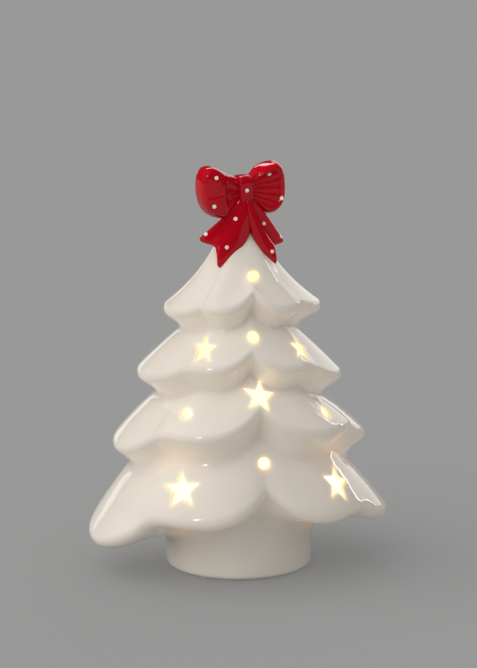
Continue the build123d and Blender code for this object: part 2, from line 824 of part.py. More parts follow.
# Slide switch: body over the slot, slider with its knob below, pins up to the board
with BuildPart() as switch_body:
    with BuildSketch(Plane.XY.offset(plate_top)):
        with Locations((switch_place, 0)):
            Rectangle(cavity_width + 2 * switch_wall, cavity_length + 2 * switch_wall)
    extrude(amount=switch_top - plate_top)
    with BuildSketch(Plane.XY.offset(plate_top - cut_overrun)):
        with Locations((switch_place, 0)):
            Rectangle(cavity_width, cavity_length)
    extrude(amount=cavity_top - plate_top + cut_overrun, mode=Mode.SUBTRACT)
save(switch_body, "switch_body")

with BuildPart() as switch_slider:
    with BuildSketch(Plane.XY.offset(carriage_bottom)):
        with Locations((switch_place, 0)):
            Rectangle(carriage_width, carriage_length)
    extrude(amount=carriage_height)
    with BuildSketch(Plane.XY.offset(plate_bottom - knob_proud)):
        with Locations((switch_place, 0)):
            Rectangle(knob_width, knob_length)
    extrude(amount=carriage_bottom - plate_bottom + knob_proud)
save(switch_slider, "switch_slider")

with BuildPart() as switch_pins:
    with BuildSketch(Plane.XY.offset(switch_top)):
        with Locations(*pin_places):
            Rectangle(switch_pin_width, switch_pin_width)
    extrude(amount=strip_top - switch_top)
save(switch_pins, "switch_pins")

# Cells, laid head to tail
cell_tail = well_end - contact_thickness - spring_depth
body_length = cell_length - cell_nub_length
for number, side in ((1, -1), (2, 1)):
    facing = Plane(
        origin=(side * cell_pitch / 2, side * cell_tail, cell_height),
        z_dir=(0, -side, 0),
    )
    with BuildPart() as cell:
        with BuildSketch(facing):
            Circle(cell_radius)
        extrude(amount=body_length)
        fillet(cell.edges().filter_by(GeomType.CIRCLE), cell_radius * cell_edge_share)
        with BuildSketch(facing.offset(body_length)):
            Circle(cell_nub_radius)
        extrude(amount=cell_nub_length)
    save(cell, f"battery_{number}")


# Contacts: sprung brass plates at the ends of the well
def contact(places, end, sprung, strips):
    """Contact plate at one end of the well, with leaf springs and solder strips where given."""
    face = end * (well_end - contact_thickness)
    with BuildPart() as plate:
        with BuildSketch(Plane.XZ.offset(-end * well_end)):
            low = min(places) - contact_width / 2
            high = max(places) + contact_width / 2
            with Locations(((low + high) / 2, cell_height)):
                Rectangle(high - low, contact_height)
        extrude(amount=end * contact_thickness)
        for x in sprung:
            foot = contact_height * leaf_foot_share
            tip = end * spring_depth
            inner_tip = tip - end * contact_thickness
            inner_foot = foot - contact_thickness
            with BuildSketch(Plane.YZ.offset(x)):
                Polygon(
                    (face, cell_height - foot),
                    (face - tip, cell_height),
                    (face, cell_height + foot),
                    (face, cell_height + inner_foot),
                    (face - inner_tip, cell_height),
                    (face, cell_height - inner_foot),
                )
            extrude(amount=leaf_width / 2, both=True)
        for x in strips:
            with BuildSketch(Plane.YZ.offset(x)):
                outer = -well_end
                start = cell_height
                with Locations((outer, start)):
                    Rectangle(contact_thickness, strip_height - start, align=Align.MIN)
                with Locations((outer, strip_height)):
                    Rectangle(well_end - standoff_circle, contact_thickness, align=Align.MIN)
                with Locations((-standoff_circle, (strip_height + strip_top) / 2)):
                    Rectangle(contact_thickness, strip_top - strip_height)
            extrude(amount=tail_strip_width / 2, both=True)
    return plate


left_cell = -cell_pitch / 2
right_cell = cell_pitch / 2
save(contact((left_cell, right_cell), 1, (right_cell,), ()), "contact_bridge")
save(contact((left_cell,), -1, (left_cell,), (left_cell,)), "contact_negative")
save(contact((right_cell,), -1, (), (right_cell,)), "contact_positive")
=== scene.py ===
import math

import bmesh
import bpy
import numpy as np
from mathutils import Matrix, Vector
from mathutils.bvhtree import BVHTree


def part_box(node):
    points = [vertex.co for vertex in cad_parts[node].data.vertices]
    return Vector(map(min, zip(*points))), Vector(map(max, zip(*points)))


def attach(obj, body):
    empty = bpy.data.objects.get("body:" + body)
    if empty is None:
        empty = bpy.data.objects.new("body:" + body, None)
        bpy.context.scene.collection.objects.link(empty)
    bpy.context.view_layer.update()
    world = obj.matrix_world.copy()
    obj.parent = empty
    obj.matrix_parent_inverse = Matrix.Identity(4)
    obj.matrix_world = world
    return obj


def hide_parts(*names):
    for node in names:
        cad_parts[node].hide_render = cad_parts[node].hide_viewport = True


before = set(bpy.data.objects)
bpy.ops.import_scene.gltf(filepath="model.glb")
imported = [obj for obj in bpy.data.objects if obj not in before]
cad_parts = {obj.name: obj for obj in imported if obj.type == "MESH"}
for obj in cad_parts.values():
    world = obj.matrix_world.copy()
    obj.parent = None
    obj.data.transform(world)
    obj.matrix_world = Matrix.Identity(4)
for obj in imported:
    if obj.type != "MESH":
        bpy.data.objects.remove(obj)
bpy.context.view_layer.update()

# Tree shell: earthenware cast in a mould with an even wall, tree and pot in one. The whole is dipped
# in a thick white glaze and fired, so every edge is round and the surface is wet and glossy.
MM = 0.001
AZIMUTH_STEPS = 312
CLAY_WALL = 4.0
TIP_RADIUS, TIP_HEIGHT = 4.5, 230.0
SPIGOT_RADIUS, SPIGOT_HEIGHT = 3.4, 240.9
SPIGOT_ROOT = (4.0, 235.0)
ROOF_HEIGHT = 203.0
CREASE_DEPTH, CREASE_SOFTNESS = 5.0, 1.6
NOTCH_LEAN = 0.85
NECK_PULL, NECK_CREASE, NECK_WALL = 0.7, 0.3, 1.3
POT_FOLLOW = 0.55
LOBE_SKEW, LOBE_FULLNESS = 1.35, 0.8
FOOT_RADIUS, FOOT_HEIGHT, FOOT_ROUND, FOOT_MIDDLE = 46.0, 0.8, 3.0, 39.7
REBATE_RADIUS, REBATE_HEIGHT = 36.4, 4.5
OPENING_RADIUS, LIP_TOP = 32.0, 8.5
SKIRT_ROWS, RIM_ROWS, UNDER_ROWS = 24, 12, 7
INSIDE_ROWS = (5, 5, 2)
POT_ROWS, FOOT_ROWS = 10, 6
GLAZE_FILLET_ROWS, GLAZE_FILLET_PASSES = 7, 14

# Each tier: reach and height of its front, back, left and right lobes, the rise of the notch between its
# front lobes, the rim's roundness, the skirt's bulge, the neck's radius, height and sway to the right, how
# far the neck moves out and up at the front, where the creases lie, their rise left and right, and its turn.
tree_tiers = (
    dict(front=(48.0, 168.6), back=(48.0, 167.5), left=(46.8, 163.6), right=(51.6, 164.8),
         rise=10.0, round=4.4, bulge=-6.4, neck=(33.7, 152.6, -2.1), neck_front=(3.0, -0.4),
         crease=44.0, crease_rise=(3.5, 3.5), turn=0.0),
    dict(front=(60.0, 134.0), back=(60.0, 131.0), left=(63.6, 124.0), right=(64.6, 121.8),
         rise=10.5, round=4.7, bulge=0.5, neck=(48.9, 110.5, -0.2), neck_front=(0.0, -1.5),
         crease=46.0, crease_rise=(3.5, 3.5), turn=-4.0),
    dict(front=(74.5, 95.0), back=(73.5, 89.5), left=(79.4, 80.4), right=(80.6, 82.2),
         rise=17.0, round=5.0, bulge=1.2, neck=(65.6, 68.0, -0.3), neck_front=(0.0, -2.0),
         crease=60.0, crease_rise=(3.5, 3.5), turn=0.0),
    dict(front=(84.0, 46.4), back=(84.0, 47.0), left=(95.1, 23.6), right=(95.1, 32.4),
         rise=19.0, round=6.2, bulge=0.9, neck=(47.0, 28.0, 0.0), neck_front=(0.0, 0.0),
         crease=56.0, crease_rise=(8.5, 5.0), turn=1.0),
)
last_tier = len(tree_tiers) - 1


def rim_at(tier, azimuth, notch_share=1.0, crease_share=1.0):
    """Reach and height of a tier's rim at each azimuth. Between two notches the rim swells as a
    parabola in the azimuth, raised to a power, from the line that joins the notches to the lobe."""
    turned = np.mod(azimuth - tier["turn"], 360.0)
    folded = np.mod(turned, 180.0)
    folded = np.minimum(folded, 180.0 - folded)
    crease_at = tier["crease"]
    near_front = folded < crease_at
    along = np.where(near_front, folded / crease_at, 0.5 + 0.5 * (90.0 - folded) / (90.0 - crease_at))
    skewed = np.where(near_front, np.abs(along) ** LOBE_SKEW, along)
    swell = np.clip(4 * skewed * (1 - skewed), 0, 1) ** LOBE_FULLNESS
    found = []
    on_right = turned < 180.0
    at_back = np.abs(turned - 180.0) < 90.0
    crease_rise = np.where(on_right, tier["crease_rise"][1], tier["crease_rise"][0])
    for axis, notch_move, crease_move in ((0, -NOTCH_LEAN, -CREASE_DEPTH), (1, 1, crease_rise)):
        front = np.where(at_back, tier["back"][axis], tier["front"][axis])
        flank = np.where(on_right, tier["right"][axis], tier["left"][axis])
        crease = (front + flank) / 2 + crease_share * crease_move
        notch = front + tier["rise"] * notch_share * notch_move
        low = np.where(near_front, notch + (crease - notch) * along, crease)
        found.append(low + (np.where(near_front, front, flank) - low) * swell)
    return found


def neck_at(index, azimuth):
    """Radius and height of the neck under a tier: it climbs with the rim and is drawn in with it."""
    tier = tree_tiers[index]
    radius, height, sway = tier["neck"]
    reach_side, height_side = (np.array(tier["left"]) + np.array(tier["right"])) / 2
    reach, rim_height = rim_at(tier, azimuth, 1.0, NECK_CREASE)
    if index == last_tier:
        return np.full_like(azimuth, radius), height + (rim_height - height_side) * POT_FOLLOW
    front_share = np.cos(np.radians(azimuth)) ** 2
    out, up = tier["neck_front"]
    radius = radius + sway * np.sin(np.radians(azimuth)) + NECK_PULL * (reach - reach_side)
    return radius + out * front_share, height + rim_height - height_side + up * front_share


def tangent_angle(centre, radius, point, turn):
    """Angle on the rim's circle where the line from an outside point touches it."""
    across, up = point[0] - centre[0], point[1] - centre[1]
    return np.arctan2(up, across) + turn * np.arccos(radius / np.hypot(across, up))


def tier_profile(index, azimuth, inset, skirt_rows, rim_rows, under_rows):
    """Rows of radius and height down one tier: a parabola from the neck above to the rim, an arc
    round the rim and a straight underside to the neck below, all moved in by an inset."""
    tier = tree_tiers[index]
    reach, height = rim_at(tier, azimuth)
    rim_round = tier["round"]
    centre = (reach - rim_round, height)
    tip = (np.full_like(azimuth, TIP_RADIUS), np.full_like(azimuth, TIP_HEIGHT))
    start = tip if index == 0 else neck_at(index - 1, azimuth)
    first = tangent_angle(centre, rim_round, start, -1)
    control = [
        (start[axis] + centre[axis] + rim_round * lean) / 2 + 2 * tier["bulge"] * lean
        for axis, lean in ((0, np.cos(first)), (1, np.sin(first)))
    ]
    top_angle = tangent_angle(centre, rim_round, control, -1)
    end = [centre[0] + rim_round * np.cos(top_angle), centre[1] + rim_round * np.sin(top_angle)]
    bottom = neck_at(index, azimuth)
    low_angle = tangent_angle(centre, rim_round, bottom, 1)
    low_angle = np.where(low_angle > top_angle, low_angle - 2 * math.pi, low_angle)
    share = np.linspace(0, 1, skirt_rows, endpoint=False)[1:, None]
    legs = list(zip(start, control, end))
    place = [(1 - share) ** 2 * a + 2 * share * (1 - share) * b + share**2 * c for a, b, c in legs]
    slope = [(1 - share) * (b - a) + share * (c - b) for a, b, c in legs]
    length = np.hypot(*slope)
    skirt = np.stack([place[0] + slope[1] / length * inset, place[1] - slope[0] / length * inset], -1)
    angle = top_angle + (low_angle - top_angle) * np.linspace(0, 1, rim_rows)[:, None]
    rim = np.stack([centre[0] + (rim_round - inset) * np.cos(angle),
                    centre[1] + (rim_round - inset) * np.sin(angle)], -1)
    if index == last_tier:
        neck = np.stack([bottom[0] - inset, bottom[1] + inset], -1)
    else:
        neck = np.stack([bottom[0] - NECK_WALL * inset, bottom[1]], -1)
    fall = np.linspace(0, 1, under_rows + 1)[1:, None, None]
    return [skirt, rim, rim[-1] + (neck - rim[-1]) * fall]


def level_rows(*points):
    """Round rows, the same at every azimuth, through the radius and height points given."""
    return [np.broadcast_to(np.array(points, float)[:, None, :], (len(points), AZIMUTH_STEPS, 2))]


def eased(rows, weights, passes):
    """Rows averaged with their neighbours again and again, as far as each row's weight allows."""
    for _ in range(passes):
        mean = (np.roll(rows, 1, 0) + 2 * rows + np.roll(rows, -1, 0)) / 4
        rows = rows + weights[:, None, None] * (mean - rows)
    return rows


def softened(rows, degrees):
    """Rows averaged round their ring with a bell curve that many degrees wide."""
    count = rows.shape[1]
    wave = np.fft.fftfreq(count, 1 / count)
    keep = np.exp(-2 * (math.pi * wave * degrees / 360) ** 2)
    return np.fft.ifft(np.fft.fft(rows, axis=1) * keep[None, :, None], axis=1).real


def closed_form(rows, first_point=None, last_point=None):
    """Points, quads and triangles of rows of points that run round, with a fan to a point at each
    end where one is given. The sign of the volume inside tells which way the faces look."""
    count, around = rows.shape[:2]
    index = np.arange(count * around).reshape(count, around)
    beside = np.roll(index, -1, 1)
    quads = np.stack([index[:-1], index[1:], beside[1:], beside[:-1]], -1).reshape(-1, 4)
    points = rows.reshape(-1, 3)
    fans = np.zeros((0, 3), int)
    if first_point is not None:
        pole = np.full(around, count * around)
        points = np.concatenate([points, [first_point, last_point]])
        fans = np.concatenate([np.stack([pole, index[0], beside[0]], -1),
                               np.stack([beside[-1], index[-1], pole + 1], -1)])
    sides = np.concatenate([quads[:, :3], quads[:, [0, 2, 3]], fans])
    a, b, c = (points[sides[:, corner]] - points.mean(0) for corner in range(3))
    if np.einsum("ij,ij->", a, np.cross(b, c)) < 0:
        quads, fans = quads[:, ::-1], fans[:, ::-1]
    return points, quads, fans


def mesh_from_forms(name, forms):
    """One smooth mesh, in metres, of closed forms given in millimetres."""
    points, faces, so_far = [], [], 0
    for form_points, quads, fans in forms:
        faces += (quads + so_far).tolist() + (fans + so_far).tolist()
        points.append(form_points)
        so_far += len(form_points)
    mesh = bpy.data.meshes.new(name)
    mesh.from_pydata((np.concatenate(points) * MM).tolist(), [], faces)
    mesh.shade_smooth()
    return mesh


def add_object(name, mesh):
    """New object at the origin that holds a mesh, camera or lamp."""
    made = bpy.data.objects.new(name, mesh)
    bpy.context.scene.collection.objects.link(made)
    return made


azimuths = np.arange(AZIMUTH_STEPS) * 360.0 / AZIMUTH_STEPS
blocks = level_rows((SPIGOT_RADIUS * 0.6, SPIGOT_HEIGHT), (SPIGOT_RADIUS * 0.93, SPIGOT_HEIGHT - 0.2),
                    (SPIGOT_RADIUS, SPIGOT_HEIGHT - 1.0), SPIGOT_ROOT, (TIP_RADIUS, TIP_HEIGHT))
skirt_starts = []
neck_rows = []
for tier_index in range(len(tree_tiers)):
    skirt_starts.append(sum(len(block) for block in blocks) - 1)
    blocks += tier_profile(tier_index, azimuths, 0.0, SKIRT_ROWS, RIM_ROWS, UNDER_ROWS)
    neck_rows.append(sum(len(block) for block in blocks) - 1)
pot_top = blocks[-1][-1]
pot_base = np.stack([np.full_like(azimuths, FOOT_RADIUS),
                     np.full_like(azimuths, FOOT_HEIGHT + FOOT_ROUND)], -1)
blocks.append(pot_top + (pot_base - pot_top) * np.linspace(0, 1, POT_ROWS + 1)[1:, None, None])
foot_turn = np.radians(np.linspace(0, 90, FOOT_ROWS + 1))[1:]
blocks += level_rows(*zip(FOOT_RADIUS - FOOT_ROUND * (1 - np.cos(foot_turn)),
                          FOOT_HEIGHT + FOOT_ROUND * (1 - np.sin(foot_turn))))
outside = np.concatenate(blocks)
row_numbers = np.arange(len(outside))
neck_weights = np.zeros(len(outside))
for row in neck_rows:
    nearness = np.clip(1 - np.abs(row_numbers - row) / GLAZE_FILLET_ROWS, 0, 1)
    neck_weights = np.maximum(neck_weights, nearness)
outside = softened(eased(outside, neck_weights, GLAZE_FILLET_PASSES), CREASE_SOFTNESS)

inside_blocks = []
for tier_index in range(len(tree_tiers)):
    skirt, rim, under = tier_profile(tier_index, azimuths, CLAY_WALL, *INSIDE_ROWS)
    inside_blocks += [skirt[2:] if tier_index == 0 else skirt, rim, under]
inside = softened(np.concatenate(inside_blocks), CREASE_SOFTNESS)[::-1]
seat = np.concatenate(level_rows(
    (FOOT_MIDDLE, FOOT_HEIGHT), (REBATE_RADIUS, FOOT_HEIGHT), (REBATE_RADIUS, REBATE_HEIGHT),
    (OPENING_RADIUS, REBATE_HEIGHT), (OPENING_RADIUS, LIP_TOP), (FOOT_RADIUS - CLAY_WALL, LIP_TOP)))
profile = np.concatenate([outside, seat, inside, *level_rows((TIP_RADIUS, ROOF_HEIGHT))])
turn_round = np.radians(azimuths)
shell_rows = np.stack([profile[..., 0] * np.sin(turn_round), -profile[..., 0] * np.cos(turn_round),
                       profile[..., 1]], -1)
shell_form = closed_form(shell_rows, (0, 0, SPIGOT_HEIGHT), (0, 0, ROOF_HEIGHT))
shell_mesh = mesh_from_forms("white_tree", [shell_form])
white_tree = add_object("white_tree", shell_mesh)
quad_count = (len(profile) - 1) * AZIMUTH_STEPS
lit_face = np.zeros(len(shell_mesh.polygons), np.int32)
lit_face[(len(outside) + len(seat) - 1) * AZIMUTH_STEPS:quad_count] = 1
lit_face[quad_count + AZIMUTH_STEPS:] = 1

# Cut-outs: stars and round holes that are cut straight in by hand while the clay is soft. The glaze
# rounds each edge over. A row gives tier, azimuth, height, and how far the cut's right arm and its top arm
# reach across and up, because each lies a little askew on its slope.
STAR_WAIST, STAR_POINTS = 0.45, 5
CUT_POINTS = 150
CORNER_PASSES = 4
SKIRT_GUESS, SKIRT_PASSES = 50.0, 12
SHARP_EDGE = math.radians(50)
round_cuts = (
    (0, 4.5, 187.2, (3.6, -0.2), (1.2, 2.7)),
    (1, -2.0, 152.4, (3.3, -0.3), (0.5, 3.0)),
    (2, -43.5, 107.8, (3.9, 0.3), (-1.6, 2.4)),
    (2, 41.0, 105.0, (2.9, -0.9), (2.5, 2.2)),
    (3, 0.7, 78.5, (3.5, -0.2), (0.4, 3.2)),
)
star_cuts = (
    (1, -38.5, 145.2, (7.8, 0.5), (-2.7, 6.7)),
    (1, 35.3, 143.4, (6.8, -2.2), (5.2, 5.5)),
    (2, 0.0, 118.0, (9.7, -1.8), (2.5, 7.8)),
    (3, -41.0, 63.2, (11.8, 1.8), (-3.4, 9.7)),
    (3, 39.6, 62.0, (10.5, -3.0), (5.4, 9.5)),
)
knife_depths = np.array([-7.0, -0.7, 0.0, 0.2, 0.5, 1.0, 1.6, 11.0])
knife_flares = np.array([0.95, 0.85, 0.45, 0.28, 0.13, 0.04, 0.0, 0.0])
SURFACE_ROW, EDGE_ROW, LIT_ROW = 2, 4, 6


def skirt_radius(index, azimuth, height):
    """Radius of a tier's skirt at azimuths and heights, read off the tree's own rows."""
    rows = outside[skirt_starts[index]:skirt_starts[index] + SKIRT_ROWS + 1]
    step = np.mod(azimuth, 360.0) / 360.0 * AZIMUTH_STEPS
    low = np.floor(step).astype(int) % AZIMUTH_STEPS
    part = (step - np.floor(step))[None, :, None]
    columns = rows[:, low] * (1 - part) + rows[:, (low + 1) % AZIMUTH_STEPS] * part
    radius, level = columns[..., 0], columns[..., 1]
    below = np.clip((level > height).sum(0), 1, len(rows) - 1)
    pick = np.arange(azimuth.size)
    top, bottom = level[below - 1, pick], level[below, pick]
    fall = np.clip((top - height) / np.maximum(top - bottom, 1e-6), 0, 1)
    return radius[below - 1, pick] + (radius[below, pick] - radius[below - 1, pick]) * fall


round_outline = np.linspace(0, 2 * math.pi, CUT_POINTS, endpoint=False) + math.pi / 2
round_outline = np.stack([np.cos(round_outline), np.sin(round_outline)], -1)
star_corners = np.arange(2 * STAR_POINTS + 1)
star_reach = np.where(star_corners % 2, STAR_WAIST, 1.0)
star_angles = math.pi / 2 + math.pi * star_corners / STAR_POINTS
star_steps = np.linspace(0, 2 * STAR_POINTS, CUT_POINTS, endpoint=False)
star_outline = np.stack([np.interp(star_steps, star_corners, star_reach * np.cos(star_angles)),
                         np.interp(star_steps, star_corners, star_reach * np.sin(star_angles))], -1)
for _ in range(CORNER_PASSES):
    star_outline = (np.roll(star_outline, 1, 0) + 2 * star_outline + np.roll(star_outline, -1, 0)) / 4


def knife_rows(flat_outline, index, azimuth, height, right_arm, top_arm):
    """Rows of the knife's cut: the outline laid along its two arms and flared outwards near the glaze, at
    each depth under the skirt, taken straight in from where the skirt lies at that point."""
    outline = flat_outline @ np.array([right_arm, top_arm])
    size = np.hypot(outline[:, 0], outline[:, 1])
    grown = outline[None] * (1 + knife_flares[:, None] / size)[..., None]
    across, up = grown[..., 0].ravel(), grown[..., 1].ravel() + height
    out = np.full_like(across, SKIRT_GUESS)
    for _ in range(SKIRT_PASSES):
        radius = skirt_radius(index, azimuth + np.degrees(np.arctan2(across, out)), up)
        out = np.sqrt(np.maximum(radius**2 - across**2, 1.0))
    out = out - np.repeat(knife_depths, CUT_POINTS)
    turn = math.radians(azimuth)
    points = np.stack([out * math.sin(turn) + across * math.cos(turn),
                       -out * math.cos(turn) + across * math.sin(turn), up], -1)
    return points.reshape(len(knife_depths), CUT_POINTS, 3)


all_cuts = []
for flat_outline, rows in ((round_outline, round_cuts), (star_outline, star_cuts)):
    for tier_index, cut_azimuth, *cut_place in rows:
        for half_turn in (0.0, 180.0):
            all_cuts.append(knife_rows(flat_outline, tier_index, cut_azimuth + half_turn, *cut_place))
knives = add_object("knives", mesh_from_forms(
    "knives", [closed_form(rows, rows[0].mean(0), rows[-1].mean(0)) for rows in all_cuts]))
for part_name in ("glaze", "lit", "wall"):
    shell_mesh.materials.append(bpy.data.materials.new(part_name))
    knives.data.materials.append(shell_mesh.materials[-1])
lit_wall = np.zeros((len(all_cuts), len(knife_depths) + 1, CUT_POINTS), np.int32)
lit_wall[:, EDGE_ROW:LIT_ROW] = 2
lit_wall[:, LIT_ROW:len(knife_depths) - 1] = 1
knives.data.polygons.foreach_set("material_index", lit_wall.ravel())
shell_mesh.polygons.foreach_set("material_index", lit_face)
cutting = white_tree.modifiers.new("cut_outs", "BOOLEAN")
cutting.operation = "DIFFERENCE"
cutting.object = knives
cutting.solver = "MANIFOLD"
cut_tree = white_tree.evaluated_get(bpy.context.evaluated_depsgraph_get())
cut_mesh = bpy.data.meshes.new_from_object(cut_tree)
white_tree.modifiers.clear()
white_tree.data = cut_mesh
bpy.data.objects.remove(knives)
cut_mesh.set_sharp_from_angle(angle=SHARP_EDGE)

# Painted light on the glaze, an emission that stands in for light bleeding through the clay: a painted halo
# that fades with the distance from the nearest cut edge, a painted glow in the necks at the sides, and a
# painted glow that lightens the shaded undersides of the tiers.
HALO_REACH, NEAR_CUT = 0.9, 26.0
GLOW_AZIMUTH, GLOW_SPREAD, GLOW_REACH = 50.0, 16.0, 7.0
FIRST_GLOWING_NECK = 2
UNDERSIDE_GLOW_FROM, UNDERSIDE_GLOW_CLIMB = 22.0, 25.0
UNDERSIDE_GLOW_LEVEL, UNDERSIDE_GLOW_UNDER = 0.35, 0.9


def bell(away, width):
    """Bell curve: e to the minus square of the distance away, counted in widths."""
    return np.exp(-((away / width) ** 2))


def keep_at_points(name, values):
    """Values kept as an attribute of the tree's points, for its glaze to read."""
    kept = cut_mesh.attributes.new(name, "FLOAT", "POINT")
    kept.data.foreach_set("value", values.astype(np.float32))


place = np.empty(len(cut_mesh.vertices) * 3, np.float32)
cut_mesh.vertices.foreach_get("co", place)
place = place.reshape(-1, 3) / MM
halo = np.zeros(len(place), np.float32)
for rows in all_cuts:
    edge = rows[SURFACE_ROW].astype(np.float32)
    near = np.nonzero(np.linalg.norm(place - edge.mean(0), axis=1) < NEAR_CUT)[0]
    apart = np.linalg.norm(place[near][:, None] - edge[None], axis=2).min(1)
    halo[near] = np.maximum(halo[near], np.exp(-apart / HALO_REACH))
keep_at_points("halo", halo)
from_axis = np.hypot(place[:, 0], place[:, 1])
folded = np.degrees(np.arctan2(np.abs(place[:, 0]), np.abs(place[:, 1])))
near_lamps = bell(folded - GLOW_AZIMUTH, GLOW_SPREAD)
turned = np.degrees(np.arctan2(place[:, 0], -place[:, 1])) / 360.0 * AZIMUTH_STEPS
column = np.round(turned).astype(int) % AZIMUTH_STEPS
neck_glow = np.zeros(len(place))
for row in neck_rows[FIRST_GLOWING_NECK:]:
    neck = outside[row, column]
    apart = np.hypot(from_axis - neck[:, 0], place[:, 2] - neck[:, 1])
    neck_glow = np.maximum(neck_glow, bell(apart, GLOW_REACH) * near_lamps)
keep_at_points("neck_glow", neck_glow)
facing = np.empty(len(place) * 3, np.float32)
cut_mesh.vertex_normals.foreach_get("vector", facing)
# Painted glow that lightens the tiers' shaded undersides, stronger the more a point faces down.
above_foot = np.clip((place[:, 2] - UNDERSIDE_GLOW_FROM) / UNDERSIDE_GLOW_CLIMB, 0, 1)
keep_at_points("painted_underside_glow", above_foot * np.clip(UNDERSIDE_GLOW_LEVEL - UNDERSIDE_GLOW_UNDER * facing[2::3], 0, 1))


# Glaze group: the tone drifts where the glaze ran thick or thin, its gloss varies a little, and its
# face has the slow swell and the fine orange peel of fired glaze.
RUN_SCALE, HAZE_SCALE, PEEL_SCALE, SWELL_SCALE = 22.0, 60.0, 420.0, 45.0
PEEL_STRENGTH, PEEL_DEPTH, SWELL_DEPTH = 0.05, 0.0004, 0.003


def node_group(name, inputs, outputs):
    """Shader node group with its sockets: name, kind and start value of each."""
    group = bpy.data.node_groups.new(name, "ShaderNodeTree")
    for socket_name, kind, value in inputs:
        socket = group.interface.new_socket(socket_name, in_out="INPUT", socket_type=kind)
        socket.default_value = value
    for socket_name, kind in outputs:
        group.interface.new_socket(socket_name, in_out="OUTPUT", socket_type=kind)
    return group, group.nodes.new("NodeGroupInput"), group.nodes.new("NodeGroupOutput")


def feed(tree, socket, value):
    """Socket set to a plain number or colour, or linked to another socket."""
    if isinstance(value, tuple):
        socket.default_value = (*value, 1.0)
    elif isinstance(value, float):
        socket.default_value = value
    else:
        tree.links.new(value, socket)


def object_place(tree):
    """Object coordinates, which stay with the piece when it moves."""
    return tree.nodes.new("ShaderNodeTexCoord").outputs["Object"]


def noise(tree, scale, detail=2.0):
    """Noise on Object coordinates; returns its value socket."""
    made = tree.nodes.new("ShaderNodeTexNoise")
    made.inputs["Detail"].default_value = detail
    feed(tree, made.inputs["Vector"], object_place(tree))
    feed(tree, made.inputs["Scale"], scale)
    return made.outputs["Fac"]


def ranged(tree, value, low, high, to_low, to_high):
    """Value carried from one range to another and held at its ends."""
    made = tree.nodes.new("ShaderNodeMapRange")
    for name, number in zip(("From Min", "From Max", "To Min", "To Max"), (low, high, to_low, to_high)):
        made.inputs[name].default_value = number
    feed(tree, made.inputs["Value"], value)
    return made.outputs["Result"]


def worked(tree, operation, first, second):
    """Math node of two values, each a socket or a plain number."""
    made = tree.nodes.new("ShaderNodeMath")
    made.operation = operation
    for socket, value in zip(made.inputs, (first, second)):
        feed(tree, socket, value)
    return made.outputs[0]


def mixed(tree, factor, first, second, blend="MIX"):
    """Colour mix; each colour is a socket or a plain colour, the factor a socket or a number."""
    made = tree.nodes.new("ShaderNodeMix")
    made.data_type = "RGBA"
    made.blend_type = blend
    colour_inputs = [socket for socket in made.inputs if socket.type == "RGBA"]
    for socket, value in zip((made.inputs["Factor"], *colour_inputs), (factor, first, second)):
        feed(tree, socket, value)
    return [socket for socket in made.outputs if socket.type == "RGBA"][0]


def bumped(tree, height, strength, distance, under=None):
    """Bump from a height value, over another bump where one is given."""
    made = tree.nodes.new("ShaderNodeBump")
    made.inputs["Distance"].default_value = distance
    feed(tree, made.inputs["Strength"], strength)
    feed(tree, made.inputs["Height"], height)
    if under is not None:
        feed(tree, made.inputs["Normal"], under)
    return made.outputs["Normal"]


def shader_material(name, roughness):
    """Material with a Principled shader; returns both and the node tree."""
    made = bpy.data.materials.new(name)
    made.use_nodes = True
    shader = made.node_tree.nodes["Principled BSDF"]
    shader.inputs["Roughness"].default_value = roughness
    return made, shader, made.node_tree


def surface_material(name, surface, values):
    """Material whose colour, roughness and normal come from a surface group with its own values."""
    made, shader, tree = shader_material(name, values["Gloss"])
    group = tree.nodes.new("ShaderNodeGroup")
    group.node_tree = surface
    for socket_name, value in values.items():
        feed(tree, group.inputs[socket_name], value)
    for output, socket_name in (("Color", "Base Color"), ("Roughness", "Roughness"), ("Normal", "Normal")):
        tree.links.new(group.outputs[output], shader.inputs[socket_name])
    return made, shader, tree, group


glaze_group, glaze_in, glaze_out = node_group(
    "glaze_surface",
    [("Thin", "NodeSocketColor", (0.8, 0.78, 0.74, 1)), ("Thick", "NodeSocketColor", (0.7, 0.68, 0.64, 1)),
     ("Gloss", "NodeSocketFloat", 0.1), ("Swell", "NodeSocketFloat", 0.2)],
    [("Color", "NodeSocketColor"), ("Roughness", "NodeSocketFloat"), ("Normal", "NodeSocketVector")])
run = ranged(glaze_group, noise(glaze_group, RUN_SCALE, 3.0), 0.35, 0.65, 0.0, 1.0)
tone = mixed(glaze_group, run, glaze_in.outputs["Thin"], glaze_in.outputs["Thick"])
glaze_group.links.new(tone, glaze_out.inputs["Color"])
haze = ranged(glaze_group, noise(glaze_group, HAZE_SCALE), 0.3, 0.7, 0.75, 1.35)
glaze_group.links.new(worked(glaze_group, "MULTIPLY", glaze_in.outputs["Gloss"], haze),
                      glaze_out.inputs["Roughness"])
peel = bumped(glaze_group, noise(glaze_group, PEEL_SCALE, 1.0), PEEL_STRENGTH, PEEL_DEPTH)
swell_noise = noise(glaze_group, SWELL_SCALE)
swell_bump = bumped(glaze_group, swell_noise, glaze_in.outputs["Swell"], SWELL_DEPTH, peel)
glaze_group.links.new(swell_bump, glaze_out.inputs["Normal"])


def glazed(name, thin, thick, gloss, swell):
    """Glazed clay: a material with the glaze group."""
    values = {"Thin": thin, "Thick": thick, "Gloss": gloss, "Swell": swell}
    return surface_material(name, glaze_group, values)[:3]


def attribute_value(tree, name):
    """Value of a point attribute of the mesh."""
    made = tree.nodes.new("ShaderNodeAttribute")
    made.attribute_name = name
    return made.outputs["Fac"]


